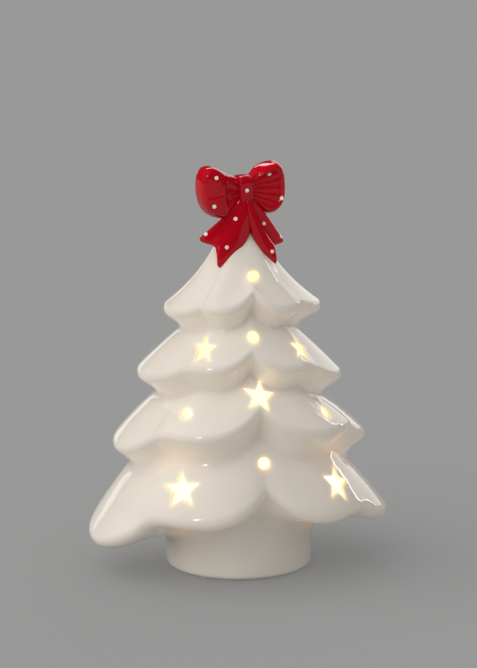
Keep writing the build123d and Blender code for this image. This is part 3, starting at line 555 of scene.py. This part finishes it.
white_glaze, white_shader, glaze_nodes = glazed(
    "white_glaze", thin=(0.80, 0.74, 0.66), thick=(0.75, 0.695, 0.62), gloss=0.06, swell=0.14)
# The glaze's emission is painted light: a painted halo round the cuts, a painted glow in the necks, and a
# painted glow that lightens the undersides.
glow = (0.0, 0.0, 0.0)
for attribute, colour in (
    ("halo", (0.36, 0.21, 0.03)),
    ("neck_glow", (0.16, 0.07, 0.01)),
    ("painted_underside_glow", (0.14, 0.12, 0.095)),
):
    part_glow = mixed(glaze_nodes, attribute_value(glaze_nodes, attribute), (0.0, 0.0, 0.0), colour)
    glow = mixed(glaze_nodes, 1.0, part_glow, glow, "ADD")
glaze_nodes.links.new(glow, white_shader.inputs["Emission Color"])
white_shader.inputs["Emission Strength"].default_value = 1.0

# The clay inside is bare. The lamps' light on it is painted as a glow of its own, brightest near them and
# warmer towards the tip. A millimetre of each cut's wall, just under the glaze, is painted yellow and given a
# painted yellow glow for the light that comes through the clay there.
LIT_FROM, LIT_TO = 0.03, 0.19
CLAY_GLOW_STRENGTH, WALL_GLOW_STRENGTH = 0.6, 0.5
glowing_clay, lit_shader, lit_nodes = shader_material("glowing_clay", 0.7)
inside_parts = lit_nodes.nodes.new("ShaderNodeSeparateXYZ")
lit_nodes.links.new(object_place(lit_nodes), inside_parts.inputs["Vector"])
climb = ranged(lit_nodes, inside_parts.outputs["Z"], LIT_FROM, LIT_TO, 0.0, 1.0)
clay_tone = mixed(lit_nodes, noise(lit_nodes, 30.0), (0.80, 0.72, 0.56), (0.72, 0.63, 0.47))
lit_nodes.links.new(clay_tone, lit_shader.inputs["Base Color"])
# Painted glow of the inside clay: brighter low down near the lamps, warmer towards the tip.
painted_clay_glow = mixed(lit_nodes, climb, (1.0, 0.95, 0.80), (0.80, 0.69, 0.43))
lit_nodes.links.new(painted_clay_glow, lit_shader.inputs["Emission Color"])
lit_shader.inputs["Emission Strength"].default_value = CLAY_GLOW_STRENGTH
cut_wall, wall_shader, wall_nodes = shader_material("cut_wall", 0.5)
# The cut wall's yellow colour and its yellow glow are painted light from inside the clay.
painted_yellow_wall_tone = mixed(wall_nodes, noise(wall_nodes, 60.0), (0.80, 0.66, 0.40), (0.74, 0.60, 0.34))
wall_nodes.links.new(painted_yellow_wall_tone, wall_shader.inputs["Base Color"])
wall_shader.inputs["Emission Color"].default_value = (0.95, 0.62, 0.17, 1.0)
wall_shader.inputs["Emission Strength"].default_value = WALL_GLOW_STRENGTH
for place_in_mesh, finish in enumerate((white_glaze, glowing_clay, cut_wall)):
    cut_mesh.materials[place_in_mesh] = finish
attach(white_tree, "tree")
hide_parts("tree_shell")

# Bow knot: a block of clay pressed over the tree's spigot with wet slip, its edges wiped round. The
# bow is glazed red as a whole. It stands turned a little to the right and rolled to the left.
BOW_TURN, BOW_ROLL, BOW_HEIGHT = math.radians(9.0), math.radians(2.5), 238.5
KNOT_WIDTH, KNOT_TALL, KNOT_FRONT, KNOT_BACK = 10.6, 17.0, 14.4, -0.4
KNOT_SQUARE, KNOT_WAIST, KNOT_FLARE, KNOT_CROWN = 0.45, 0.07, 0.004, 0.5
KNOT_EDGE, SLAB_POWER = 0.36, 2.8
SLAB_FROM, SLAB_FLAT_ROWS, SLAB_EDGE_ROWS = 0.05, 20, 25
OUTLINE_POINTS = 144
bow_out = np.array([math.sin(BOW_TURN), -math.cos(BOW_TURN), 0.0])
bow_across = np.array([math.cos(BOW_TURN) * math.cos(BOW_ROLL), math.sin(BOW_TURN) * math.cos(BOW_ROLL),
                       math.sin(BOW_ROLL)])
bow_up = np.cross(bow_out, bow_across)


def bow_place(across, up, out):
    """Points given across, up and out of the bow, carried to where the bow stands on the tip."""
    local = across[..., None] * bow_across + up[..., None] * bow_up + out[..., None] * bow_out
    return local + np.array([0.0, 0.0, BOW_HEIGHT])


def smooth_step(low, high, value):
    """Share of the way from low to high, eased at both ends."""
    share = np.clip((value - low) / (high - low), 0, 1)
    return share * share * (3 - 2 * share)


def squared(wave, power):
    """Sine or cosine raised to a power with its sign kept, which makes a circle more square."""
    return np.sign(wave) * np.abs(wave) ** power


def slab_section(edge_share):
    """Scale and depth shares from the middle of a slab's back to the middle of its front: flat, then
    a superellipse round the edge, then flat again."""
    flat = np.linspace(SLAB_FROM, 1 - edge_share, SLAB_FLAT_ROWS)
    turn = np.radians(np.linspace(-90, 90, SLAB_EDGE_ROWS + 2))[1:-1]
    scale = 1 - edge_share + edge_share * np.cos(turn) ** (2 / SLAB_POWER)
    depth = squared(np.sin(turn), 2 / SLAB_POWER)
    ones = np.ones(len(flat))
    return np.concatenate([flat, scale, flat[::-1]]), np.concatenate([-ones, depth, ones])


def ring_through(points, softness):
    """Closed ring of even steps through outline points, eased by a bell curve."""
    points = np.array(points, float)
    points = np.concatenate([points, points[:1]])
    walked = np.concatenate([[0], np.cumsum(np.hypot(*np.diff(points, axis=0).T))])
    at = np.linspace(0, walked[-1], OUTLINE_POINTS, endpoint=False)
    ring = np.stack([np.interp(at, walked, points[:, axis]) for axis in (0, 1)], -1)
    return softened(ring[None], softness)[0]


knot_turn = np.linspace(0, 2 * math.pi, OUTLINE_POINTS, endpoint=False)
knot_ring = np.stack([KNOT_WIDTH / 2 * squared(np.cos(knot_turn), KNOT_SQUARE),
                      KNOT_TALL / 2 * squared(np.sin(knot_turn), KNOT_SQUARE)], -1)
knot_scale, knot_depth = slab_section(KNOT_EDGE)
knot_across = knot_scale[:, None] * knot_ring[:, 0]
knot_height = knot_scale[:, None] * knot_ring[:, 1]
knot_share = (knot_height / (KNOT_TALL / 2)) ** 2
waist = 1 - KNOT_WAIST * (1 - knot_share) - KNOT_FLARE * (KNOT_TALL / 2 - knot_height)
knot_out = (KNOT_FRONT + KNOT_BACK) / 2 + (KNOT_FRONT - KNOT_BACK) / 2 * knot_depth[:, None]
knot_out = knot_out - np.clip(knot_depth[:, None], 0, 1) * KNOT_CROWN * knot_share
knot_rows = bow_place(knot_across * waist, knot_height, knot_out)
knot_form = closed_form(knot_rows, knot_rows[0].mean(0), knot_rows[-1].mean(0))
red_knot = add_object("red_knot", mesh_from_forms("red_knot", [knot_form]))
red_glaze, red_shader, _ = glazed(
    "red_glaze", thin=(0.55, 0.001, 0.011), thick=(0.43, 0.001, 0.010), gloss=0.035, swell=0.12)
red_shader.inputs["Specular IOR Level"].default_value = 0.45
red_knot.data.materials.append(red_glaze)
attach(red_knot, "tree")
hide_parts("bow_knot")

# Bow loops: thick pads of clay pinched where they meet the knot, with pleats pressed in. The left one
# is puffed up, and the right one has a raised rim round a hollowed and pleated front.
LOOP_HUB = np.array([15.0, 0.0])
LOOP_EDGE, LOOP_SOFTNESS, LOOP_LIFT = 0.22, 8.0, 0.1
LOOP_MIDDLE, LOOP_LEAN_BACK, LOOP_HALF, LOOP_SWELL = 7.0, 3.2, 4.4, 3.2
left_outline = (
    (1.5, 7), (6, 8.3), (10, 10.2), (14, 13), (19, 15.6), (24, 15.6), (27.3, 12), (28.6, 5), (28.6, -2),
    (27, -9), (24, -14.2), (19, -17.3), (13, -18.2), (8.6, -15.4), (4.6, -11.4), (1.5, -8.8))
right_outline = (
    (1.5, 6.5), (4.8, 8.4), (6.6, 11.4), (10.6, 14.2), (16, 15.3), (21, 15.8), (25.5, 15.2), (28, 11),
    (28.8, 5), (28.8, -3), (28.2, -9), (25.5, -14.5), (20, -18), (14, -18), (9, -14), (5, -10.5), (1.5, -8.5))


def left_relief(across, up, scale):
    """Puffed pad with a fold where it is pinched and pleats that run from there to the knot."""
    fan = np.arctan2(up + 1.0, across - 1.0)
    pinch = 1 - smooth_step(9.0, 15.0, across)
    pleats = (0.5 - np.abs(np.sin(5.0 * fan + 0.5))) * 1.5 * pinch * smooth_step(3.0, 8.0, across)
    fold = -1.3 * bell(across - 12.4 - 0.05 * up, 1.1) * bell(up - 1, 8.0)
    crease = -0.35 * bell(across - 17.6 + 0.06 * up, 0.8) * bell(up - 2, 6.0)
    puff = 1.5 * (1 - scale**2) * smooth_step(9.0, 17.0, across)
    ridge = 0.4 * bell(up + 4.5 + 0.12 * (across - 20), 1.2) * smooth_step(13, 17, across)
    return pleats + fold + crease + puff + ridge - 0.7 * pinch


def right_relief(across, up, scale):
    """Hollow front inside a raised rim, with pleats that fan out from the knot."""
    fan = np.arctan2(up, across + 6.0)
    hollow = 1 - smooth_step(0.70, 0.84, scale)
    hollow = np.where(across < 12.0, np.maximum(hollow, 1 - smooth_step(8.0, 13.0, across)), hollow)
    pleats = (np.abs(np.sin(19.0 * fan)) - 0.6) * 0.9 * smooth_step(4.0, 10.0, across)
    return hollow * (pleats - 1.7)


def loop_form(side, outline, relief, taper, drop):
    """One loop: its outline scaled towards a hub, with the depth of a slab that thickens outwards. The
    front is a little smaller than the back and dropped near the knot, and carries the relief."""
    scale, depth = slab_section(LOOP_EDGE)
    ring = ring_through(outline, LOOP_SOFTNESS)
    recede = (depth + 1) / 2
    flat = LOOP_HUB + (scale * (1 - taper * recede))[:, None, None] * (ring - LOOP_HUB)
    across, up = flat[..., 0], flat[..., 1]
    near_knot = (1 - smooth_step(12.0, 24.0, across)) * np.clip(up / 12.0, 0, 1)
    up = up - drop * recede[:, None] * near_knot
    middle = LOOP_MIDDLE - LOOP_LEAN_BACK * smooth_step(6.0, 29.0, across)
    half = LOOP_HALF + LOOP_SWELL * smooth_step(4.0, 20.0, across)
    front = np.clip(depth, 0, 1)[:, None] ** 2
    out = middle + half * depth[:, None] + front * relief(across, up, scale[:, None])
    rows = bow_place(side * across, up + LOOP_LIFT, out)
    return closed_form(rows, rows[0].mean(0), rows[-1].mean(0))


left_loop_form = loop_form(-1, left_outline, left_relief, taper=0.05, drop=1.0)
right_loop_form = loop_form(1, right_outline, right_relief, taper=0.1, drop=2.5)
for piece_name, form, node in (
    ("red_left_loop", left_loop_form, "bow_left_loop"),
    ("red_right_loop", right_loop_form, "bow_right_loop"),
):
    loop = add_object(piece_name, mesh_from_forms(piece_name, [form]))
    loop.data.materials.append(red_glaze)
    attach(loop, "tree")
    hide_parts(node)

# Bow tails: strips of clay with pressed-in pleats that fall from the knot over the crown, widen and
# turn outwards, with swallow-tail ends cut by knife.
TAIL_THICK, TAIL_NOTCH, NOTCH_PLACE = 5.0, 0.13, 0.05
TAIL_CORNER, CORNER_WIDTH = 0.06, 0.16
TAIL_ROWS, TAIL_ROUND = 46, 96
END_FROM, END_SHARE, END_ROWS = 0.9, 0.1, 12
CLOSE_FROM, CLOSE_SHARE, OPEN_SHARE = 0.93, 0.07, 0.05
STRIP_SIDE, STRIP_FACE = 0.55, 0.45
left_outer = ((3.5, -5, 9), (8.5, -11, 9), (15.8, -17.4, 8), (23, -23.2, 6.3), (30.6, -29.4, 4.7))
left_inner = ((-1, -6, 11.5), (-1.2, -18, 13), (-0.3, -28, 13.5), (8.1, -37.4, 14.5), (22.4, -47.8, 14.8))
right_outer = ((3.5, -5, 9), (8.5, -11.5, 9.5), (14.5, -18.5, 9), (20.7, -27.3, 7), (26.7, -35.1, 4.7))
right_inner = ((-1, -6, 11.5), (-0.3, -17, 13), (2.2, -28, 13.5), (7.5, -38.3, 14.3), (16.9, -50.0, 14.8))


def tail_form(side, outer, inner, pleats):
    """One tail: curves of the fourth degree through five places, across, up and out of the bow, draw its
    two edges, and straight lines between them carry a rounded strip. Each column of it ends where the
    notch or the round corner is cut, and its thickness closes like a circle at both ends."""
    curve = np.polyfit(np.linspace(0, 1, len(outer)), np.concatenate([inner, outer], 1), 4)
    turn = np.linspace(0, 2 * math.pi, TAIL_ROUND, endpoint=False)
    column = 0.5 * squared(np.cos(turn), STRIP_SIDE)
    face = squared(np.sin(turn), STRIP_FACE)
    notch_width = np.where(column > NOTCH_PLACE, 0.5 - NOTCH_PLACE, 0.5 + NOTCH_PLACE)
    notch = TAIL_NOTCH * np.clip(1 - np.abs(column - NOTCH_PLACE) / notch_width, 0, 1)
    corner = np.clip((np.abs(column) - 0.5 + CORNER_WIDTH) / CORNER_WIDTH, 0, 1)
    ends = 1 - notch - TAIL_CORNER * (1 - np.sqrt(1 - corner**2))
    last_rows = END_FROM + END_SHARE * np.sin(np.linspace(0.1, 1, END_ROWS) * math.pi / 2)
    share = np.concatenate([np.linspace(0, END_FROM, TAIL_ROWS), last_rows])
    closing = np.sqrt(np.clip(1 - np.clip((share - CLOSE_FROM) / CLOSE_SHARE, 0, 1) ** 2, 0, 1))
    closing = closing * np.sqrt(np.clip(share / OPEN_SHARE, 0, 1))
    powers = (share[:, None] * ends)[..., None] ** np.arange(4, -1, -1)
    path = powers @ curve
    slope = (powers[..., 1:] * np.arange(4, 0, -1)) @ curve[:4]
    edge = path[..., 3:] - path[..., :3]
    part = (column + 0.5)[:, None]
    middle = path[..., :3] + edge * part
    heading = slope[..., :3] + (slope[..., 3:] - slope[..., :3]) * part
    front = np.cross(edge, heading)
    front = front / np.linalg.norm(front, axis=-1, keepdims=True)
    front = front * np.sign(front[..., 2:3].mean())
    thick = TAIL_THICK / 2 * closing[:, None] * face + pleats(column[None], share[:, None])
    local = middle + front * thick[..., None]
    return closed_form(bow_place(side * local[..., 0], local[..., 1], local[..., 2]))


def left_pleats(column, share):
    """One broad ridge along the tail's middle and a lifted upper edge."""
    deep = smooth_step(0.05, 0.5, share)
    lifted = 0.7 * bell(column - 0.42, 0.12)
    return deep * (0.9 * np.cos(2 * math.pi * (column + 0.1)) + lifted)


def right_pleats(column, share):
    """A broad lobe along the inner edge, a valley beside it and a narrow ridge along the outer edge."""
    deep = smooth_step(0.0, 0.35, share)
    inner_lobe = 1.1 * bell(column + 0.28, 0.22)
    valley = 1.7 * bell(column - 0.12, 0.1)
    outer_ridge = 0.7 * bell(column - 0.36, 0.1)
    return deep * (inner_lobe - valley + outer_ridge)


left_tail_form = tail_form(-1, left_outer, left_inner, left_pleats)
right_tail_form = tail_form(1, right_outer, right_inner, right_pleats)
for piece_name, form, node in (
    ("red_left_tail", left_tail_form, "bow_left_tail"),
    ("red_right_tail", right_tail_form, "bow_right_tail"),
):
    tail = add_object(piece_name, mesh_from_forms(piece_name, [form]))
    seams = bmesh.new()
    seams.from_mesh(tail.data)
    bmesh.ops.remove_doubles(seams, verts=seams.verts, dist=1e-7)
    seams.to_mesh(tail.data)
    seams.free()
    tail.data.shade_smooth()
    tail.data.materials.append(red_glaze)
    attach(tail, "tree")
    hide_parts(node)

# Bow spots: drops of thick white glaze set on the red by hand, so each stands up a little and has a
# dimple where the brush left it. A spot's place is given across and up on the front of the bow.
SPOT_RADIUS, SPOT_RISE, SPOT_SINK, SPOT_DIMPLE = 1.25, 0.5, 0.5, 0.3
DIMPLE_WIDTH, SPOT_EDGE, SPOT_ROWS, SPOT_ROUND = 0.4, 84, 12, 28
SPOT_AWAY = 60.0
left_spots = ((-19.6, 8.7), (-21.6, -8.7), (-8.0, -17.4), (-25.9, -25.8), (-15.4, -34.0))
right_spots = ((16.4, 7.8), (23.7, -7.7), (11.1, -22.3), (23.3, -31.7), (14.1, -39.3))
knot_spots = ((-0.3, -0.5),)
bow_points, bow_faces, points_before = [], [], 0
bow_forms = (knot_form, left_loop_form, right_loop_form, left_tail_form, right_tail_form)
for form_points, quads, fans in bow_forms:
    bow_faces += (quads + points_before).tolist() + (fans + points_before).tolist()
    bow_points += form_points.tolist()
    points_before += len(form_points)
bow_surface = BVHTree.FromPolygons(bow_points, bow_faces)


def spot_form(centre, normal):
    """Round drop on a surface: a dome with a dimple, and a foot sunk into what carries it."""
    side = normal.orthogonal().normalized()
    ahead = normal.cross(side)
    away = np.concatenate([[1.0], np.cos(np.radians(np.linspace(0, SPOT_EDGE, SPOT_ROWS)))])
    rise = SPOT_RISE * np.sqrt(1 - np.clip(away, 0, 1) ** 2) - SPOT_DIMPLE * bell(away, DIMPLE_WIDTH)
    rise[0] = -SPOT_SINK
    turn = np.linspace(0, 2 * math.pi, SPOT_ROUND, endpoint=False)
    flat = SPOT_RADIUS * away[:, None, None] * (
        np.cos(turn)[None, :, None] * np.array(side) + np.sin(turn)[None, :, None] * np.array(ahead))
    rows = np.array(centre) + flat + rise[:, None, None] * np.array(normal)
    return closed_form(rows, rows[0].mean(0), rows[-1].mean(0))


spot_forms = []
for spot_across, spot_up in (*left_spots, *right_spots, *knot_spots):
    start = bow_place(np.array(spot_across), np.array(spot_up), np.array(SPOT_AWAY))
    centre, normal, _, _ = bow_surface.ray_cast(Vector(start), Vector(-bow_out))
    if centre is not None:
        spot_forms.append(spot_form(centre, -normal if normal.dot(Vector(bow_out)) < 0 else normal))
white_spots = add_object("white_spots", mesh_from_forms("white_spots", spot_forms))
spot_glaze, _, _ = glazed(
    "spot_glaze", thin=(0.95, 0.92, 0.85), thick=(0.90, 0.86, 0.77), gloss=0.12, swell=0.05)
white_spots.data.materials.append(spot_glaze)
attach(white_spots, "tree")

# Light unit and pads: bought-in pieces under and inside the pot, kept as they are in the frame.
# Moulded plastic, rubber, metal and board each get their own grain, tone and gloss.
FINE_GRAIN, GRAIN_DEPTH = 12.0, 0.0002
grain_group, grain_in, grain_out = node_group(
    "worked_surface",
    [("Light", "NodeSocketColor", (0.8, 0.8, 0.8, 1)), ("Dark", "NodeSocketColor", (0.7, 0.7, 0.7, 1)),
     ("Scale", "NodeSocketFloat", 80.0), ("Gloss", "NodeSocketFloat", 0.5),
     ("Grain", "NodeSocketFloat", 0.2)],
    [("Color", "NodeSocketColor"), ("Roughness", "NodeSocketFloat"), ("Normal", "NodeSocketVector")])
grain_noise = noise(grain_group, grain_in.outputs["Scale"], 4.0)
grain_share = ranged(grain_group, grain_noise, 0.3, 0.7, 0.0, 1.0)
grain_tone = mixed(grain_group, grain_share, grain_in.outputs["Light"], grain_in.outputs["Dark"])
grain_group.links.new(grain_tone, grain_out.inputs["Color"])
grain_gloss = ranged(grain_group, grain_noise, 0.3, 0.7, 0.85, 1.2)
grain_group.links.new(worked(grain_group, "MULTIPLY", grain_in.outputs["Gloss"], grain_gloss),
                      grain_out.inputs["Roughness"])
fine_scale = worked(grain_group, "MULTIPLY", grain_in.outputs["Scale"], FINE_GRAIN)
fine_bump = bumped(grain_group, noise(grain_group, fine_scale), grain_in.outputs["Grain"], GRAIN_DEPTH)
grain_group.links.new(fine_bump, grain_out.inputs["Normal"])


def finish_nodes(name, light, dark, scale, gloss, grain, nodes, metallic=0.0, glow=0.0):
    """Material with the worked-surface group, set on the CAD nodes named."""
    values = {"Light": light, "Dark": dark, "Scale": scale, "Gloss": gloss, "Grain": grain}
    made, shader, tree, group = surface_material(name, grain_group, values)
    shader.inputs["Metallic"].default_value = metallic
    if glow:
        tree.links.new(group.outputs["Color"], shader.inputs["Emission Color"])
        shader.inputs["Emission Strength"].default_value = glow
    for node in nodes:
        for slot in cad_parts[node].material_slots:
            slot.material = made
    return shader, tree, group


# A row gives the finish, its light and dark tone, the scale of its grain, its roughness, how deep the
# grain is, the pieces that have it, and where they are metal or glow, how much.
unit_finishes = (
    ("pad_rubber", (0.70, 0.69, 0.66), (0.60, 0.59, 0.56), 90.0, 0.75, 0.3, ("foot_pads",)),
    ("gasket_foam", (0.09, 0.09, 0.09), (0.05, 0.05, 0.05), 300.0, 0.9, 0.6, ("seat_gasket",)),
    ("white_plastic", (0.78, 0.78, 0.75), (0.73, 0.73, 0.70), 40.0, 0.45, 0.25,
     ("base_plate", "light_housing")),
    ("door_plastic", (0.75, 0.75, 0.72), (0.70, 0.70, 0.67), 50.0, 0.42, 0.25, ("battery_door",)),
    ("frosted_plastic", (0.95, 0.88, 0.72), (0.90, 0.82, 0.64), 60.0, 0.5, 0.3, ("diffuser_dome",), 0.0, 1.5),
    ("board_green", (0.03, 0.24, 0.09), (0.02, 0.16, 0.06), 160.0, 0.35, 0.2, ("circuit_board",)),
    ("lamp_epoxy", (1.0, 0.86, 0.58), (0.95, 0.78, 0.48), 120.0, 0.2, 0.05,
     ("lamp_1", "lamp_2", "lamp_3", "lamp_4"), 0.0, 4.0),
    ("chip_black", (0.025, 0.025, 0.026), (0.015, 0.015, 0.016), 220.0, 0.6, 0.3, ("driver_chip",)),
    ("resistor_body", (0.06, 0.06, 0.07), (0.03, 0.03, 0.035), 260.0, 0.4, 0.2, ("resistors",)),
    ("switch_black", (0.035, 0.035, 0.036), (0.022, 0.022, 0.023), 120.0, 0.5, 0.3,
     ("switch_body", "switch_slider")),
    ("screw_steel", (0.62, 0.62, 0.63), (0.45, 0.45, 0.46), 240.0, 0.32, 0.15,
     ("housing_screws", "board_screws"), 1.0),
    ("contact_brass", (0.75, 0.73, 0.66), (0.60, 0.57, 0.48), 200.0, 0.28, 0.1,
     ("contact_bridge", "contact_negative", "contact_positive", "switch_pins"), 1.0),
)
for finish_row in unit_finishes:
    finish_nodes(*finish_row)

# Cells: bought AAA cells in a plain printed sleeve, dark with a pale band at the positive end and
# bare metal at both ends.
BAND_FROM, CAP_FROM, BASE_TO = 0.72, 0.965, 0.02
for cell_node, positive_end in (("battery_1", 1.0), ("battery_2", -1.0)):
    cell_low, cell_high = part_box(cell_node)
    shader, tree, group = finish_nodes(
        "sleeve_" + cell_node, light=(0.10, 0.11, 0.13), dark=(0.07, 0.08, 0.10), scale=90.0, gloss=0.3,
        grain=0.05, nodes=(cell_node,))
    parts = tree.nodes.new("ShaderNodeSeparateXYZ")
    tree.links.new(object_place(tree), parts.inputs["Vector"])
    first, last = (cell_low[1], cell_high[1]) if positive_end > 0 else (cell_high[1], cell_low[1])
    along = ranged(tree, parts.outputs["Y"], first, last, 0.0, 1.0)
    band = worked(tree, "GREATER_THAN", along, BAND_FROM)
    cap = worked(tree, "GREATER_THAN", along, CAP_FROM)
    bare = worked(tree, "MAXIMUM", cap, worked(tree, "LESS_THAN", along, BASE_TO))
    printed = mixed(tree, band, group.outputs["Color"], (0.55, 0.42, 0.20))
    tree.links.new(mixed(tree, bare, printed, (0.62, 0.62, 0.63)), shader.inputs["Base Color"])
    tree.links.new(bare, shader.inputs["Metallic"])

# Floor: a wide sheet of plain grey paper, seen from a little above so that it fills the picture. A part
# of its tone is light of its own, which keeps the tree's shadow pale.
FLOOR_REACH = 60.0
FLOOR_TONE, FLOOR_LIGHT = (0.190, 0.191, 0.193, 1.0), (0.130, 0.131, 0.132, 1.0)
floor_mesh = bpy.data.meshes.new("floor")
floor_corners = [(x * FLOOR_REACH, y * FLOOR_REACH, 0.0) for x, y in ((-1, -1), (1, -1), (1, 1), (-1, 1))]
floor_mesh.from_pydata(floor_corners, [], [(0, 1, 2, 3)])
floor = add_object("floor", floor_mesh)
floor_paper, floor_shader, _ = shader_material("floor_paper", 0.95)
floor_shader.inputs["Base Color"].default_value = FLOOR_TONE
floor_shader.inputs["Emission Color"].default_value = FLOOR_LIGHT
floor_shader.inputs["Emission Strength"].default_value = 1.0
floor_shader.inputs["Specular IOR Level"].default_value = 0.0
floor_mesh.materials.append(floor_paper)

# Studio light: an even room with soft boxes far away. A row gives azimuth, height, half width, half
# height, light and shine. The shine is what the wet glaze mirrors: the boxes stand out in a dim room.
ROOM_LIGHT, ROOM_SHINE = 0.66, 0.05
ROOM_TINT, BACKDROP_TONE = (1.0, 0.985, 0.96, 1.0), (0.319, 0.321, 0.324, 1.0)
BOX_EDGE_IN, BOX_EDGE_OUT = 0.94, 1.06
soft_boxes = (
    (-80.0, 35.0, 0.9, 0.7, 1.2, 0.1),
    (182.0, 44.0, 0.22, 0.09, 0.5, 5.0),
    (140.0, 18.0, 0.45, 0.36, 0.4, 1.2),
    (116.5, 20.0, 0.02, 0.36, 0.0, 6.0),
    (-169.0, 4.5, 0.22, 0.06, 0.0, 0.9),
    (-48.0, 24.0, 0.07, 0.11, 0.0, 14.0),
)
world = bpy.data.worlds.new("studio")
bpy.context.scene.world = world
world.use_nodes = True
sky_tree = world.node_tree
room = sky_tree.nodes["Background"]
sky_place = sky_tree.nodes.new("ShaderNodeTexCoord")
light_level, shine_level = ROOM_LIGHT, ROOM_SHINE
for box_azimuth, box_rise, half_width, half_height, light, shine in soft_boxes:
    turn, rise = math.radians(box_azimuth), math.radians(box_rise)
    aim = Vector((math.sin(turn) * math.cos(rise), -math.cos(turn) * math.cos(rise), math.sin(rise)))
    side = Vector((math.cos(turn), math.sin(turn), 0.0))
    shares = []
    for axis in (aim, side, aim.cross(side)):
        dot = sky_tree.nodes.new("ShaderNodeVectorMath")
        dot.operation = "DOT_PRODUCT"
        dot.inputs[1].default_value = axis
        sky_tree.links.new(sky_place.outputs["Generated"], dot.inputs[0])
        shares.append(dot.outputs["Value"])
    ahead = worked(sky_tree, "MAXIMUM", shares[0], 0.001)
    mask = None
    for share, half in ((shares[1], half_width), (shares[2], half_height)):
        size = worked(sky_tree, "ABSOLUTE", worked(sky_tree, "DIVIDE", share, ahead), 0.0)
        edge = ranged(sky_tree, size, half * BOX_EDGE_IN, half * BOX_EDGE_OUT, 1.0, 0.0)
        mask = edge if mask is None else worked(sky_tree, "MULTIPLY", mask, edge)
    light_level = worked(sky_tree, "ADD", worked(sky_tree, "MULTIPLY", mask, light), light_level)
    shine_level = worked(sky_tree, "ADD", worked(sky_tree, "MULTIPLY", mask, shine), shine_level)
room.inputs["Color"].default_value = ROOM_TINT
light_path = sky_tree.nodes.new("ShaderNodeLightPath")
extra = worked(sky_tree, "MULTIPLY", light_path.outputs["Is Glossy Ray"],
               worked(sky_tree, "SUBTRACT", shine_level, light_level))
sky_tree.links.new(worked(sky_tree, "ADD", light_level, extra), room.inputs["Strength"])
backdrop = sky_tree.nodes.new("ShaderNodeBackground")
backdrop.inputs["Color"].default_value = BACKDROP_TONE
seen = sky_tree.nodes.new("ShaderNodeMixShader")
sky_tree.links.new(light_path.outputs["Is Camera Ray"], seen.inputs["Fac"])
sky_tree.links.new(room.outputs["Background"], seen.inputs[1])
sky_tree.links.new(backdrop.outputs["Background"], seen.inputs[2])
sky_tree.links.new(seen.outputs["Shader"], sky_tree.nodes["World Output"].inputs["Surface"])

# Camera: a long lens a little above the tree and to its left, as the photograph was taken. Its place, turn
# and dip were fitted to the photograph.
CAMERA_PLACE = (-0.3035, -1.2641, 0.385)
CAMERA_TURN, CAMERA_DIP = math.radians(-13.5), math.radians(10.39)
SENSOR_TALL, LENS = 24.0, 76.13
camera_data = bpy.data.cameras.new("camera")
camera = add_object("camera", camera_data)
camera.location = CAMERA_PLACE
camera.rotation_euler = (math.pi / 2 - CAMERA_DIP, 0.0, CAMERA_TURN)
camera_data.sensor_fit = "VERTICAL"
camera_data.sensor_height = SENSOR_TALL
camera_data.lens = LENS
bpy.context.scene.camera = camera
bpy.context.scene.view_settings.view_transform = "Standard"
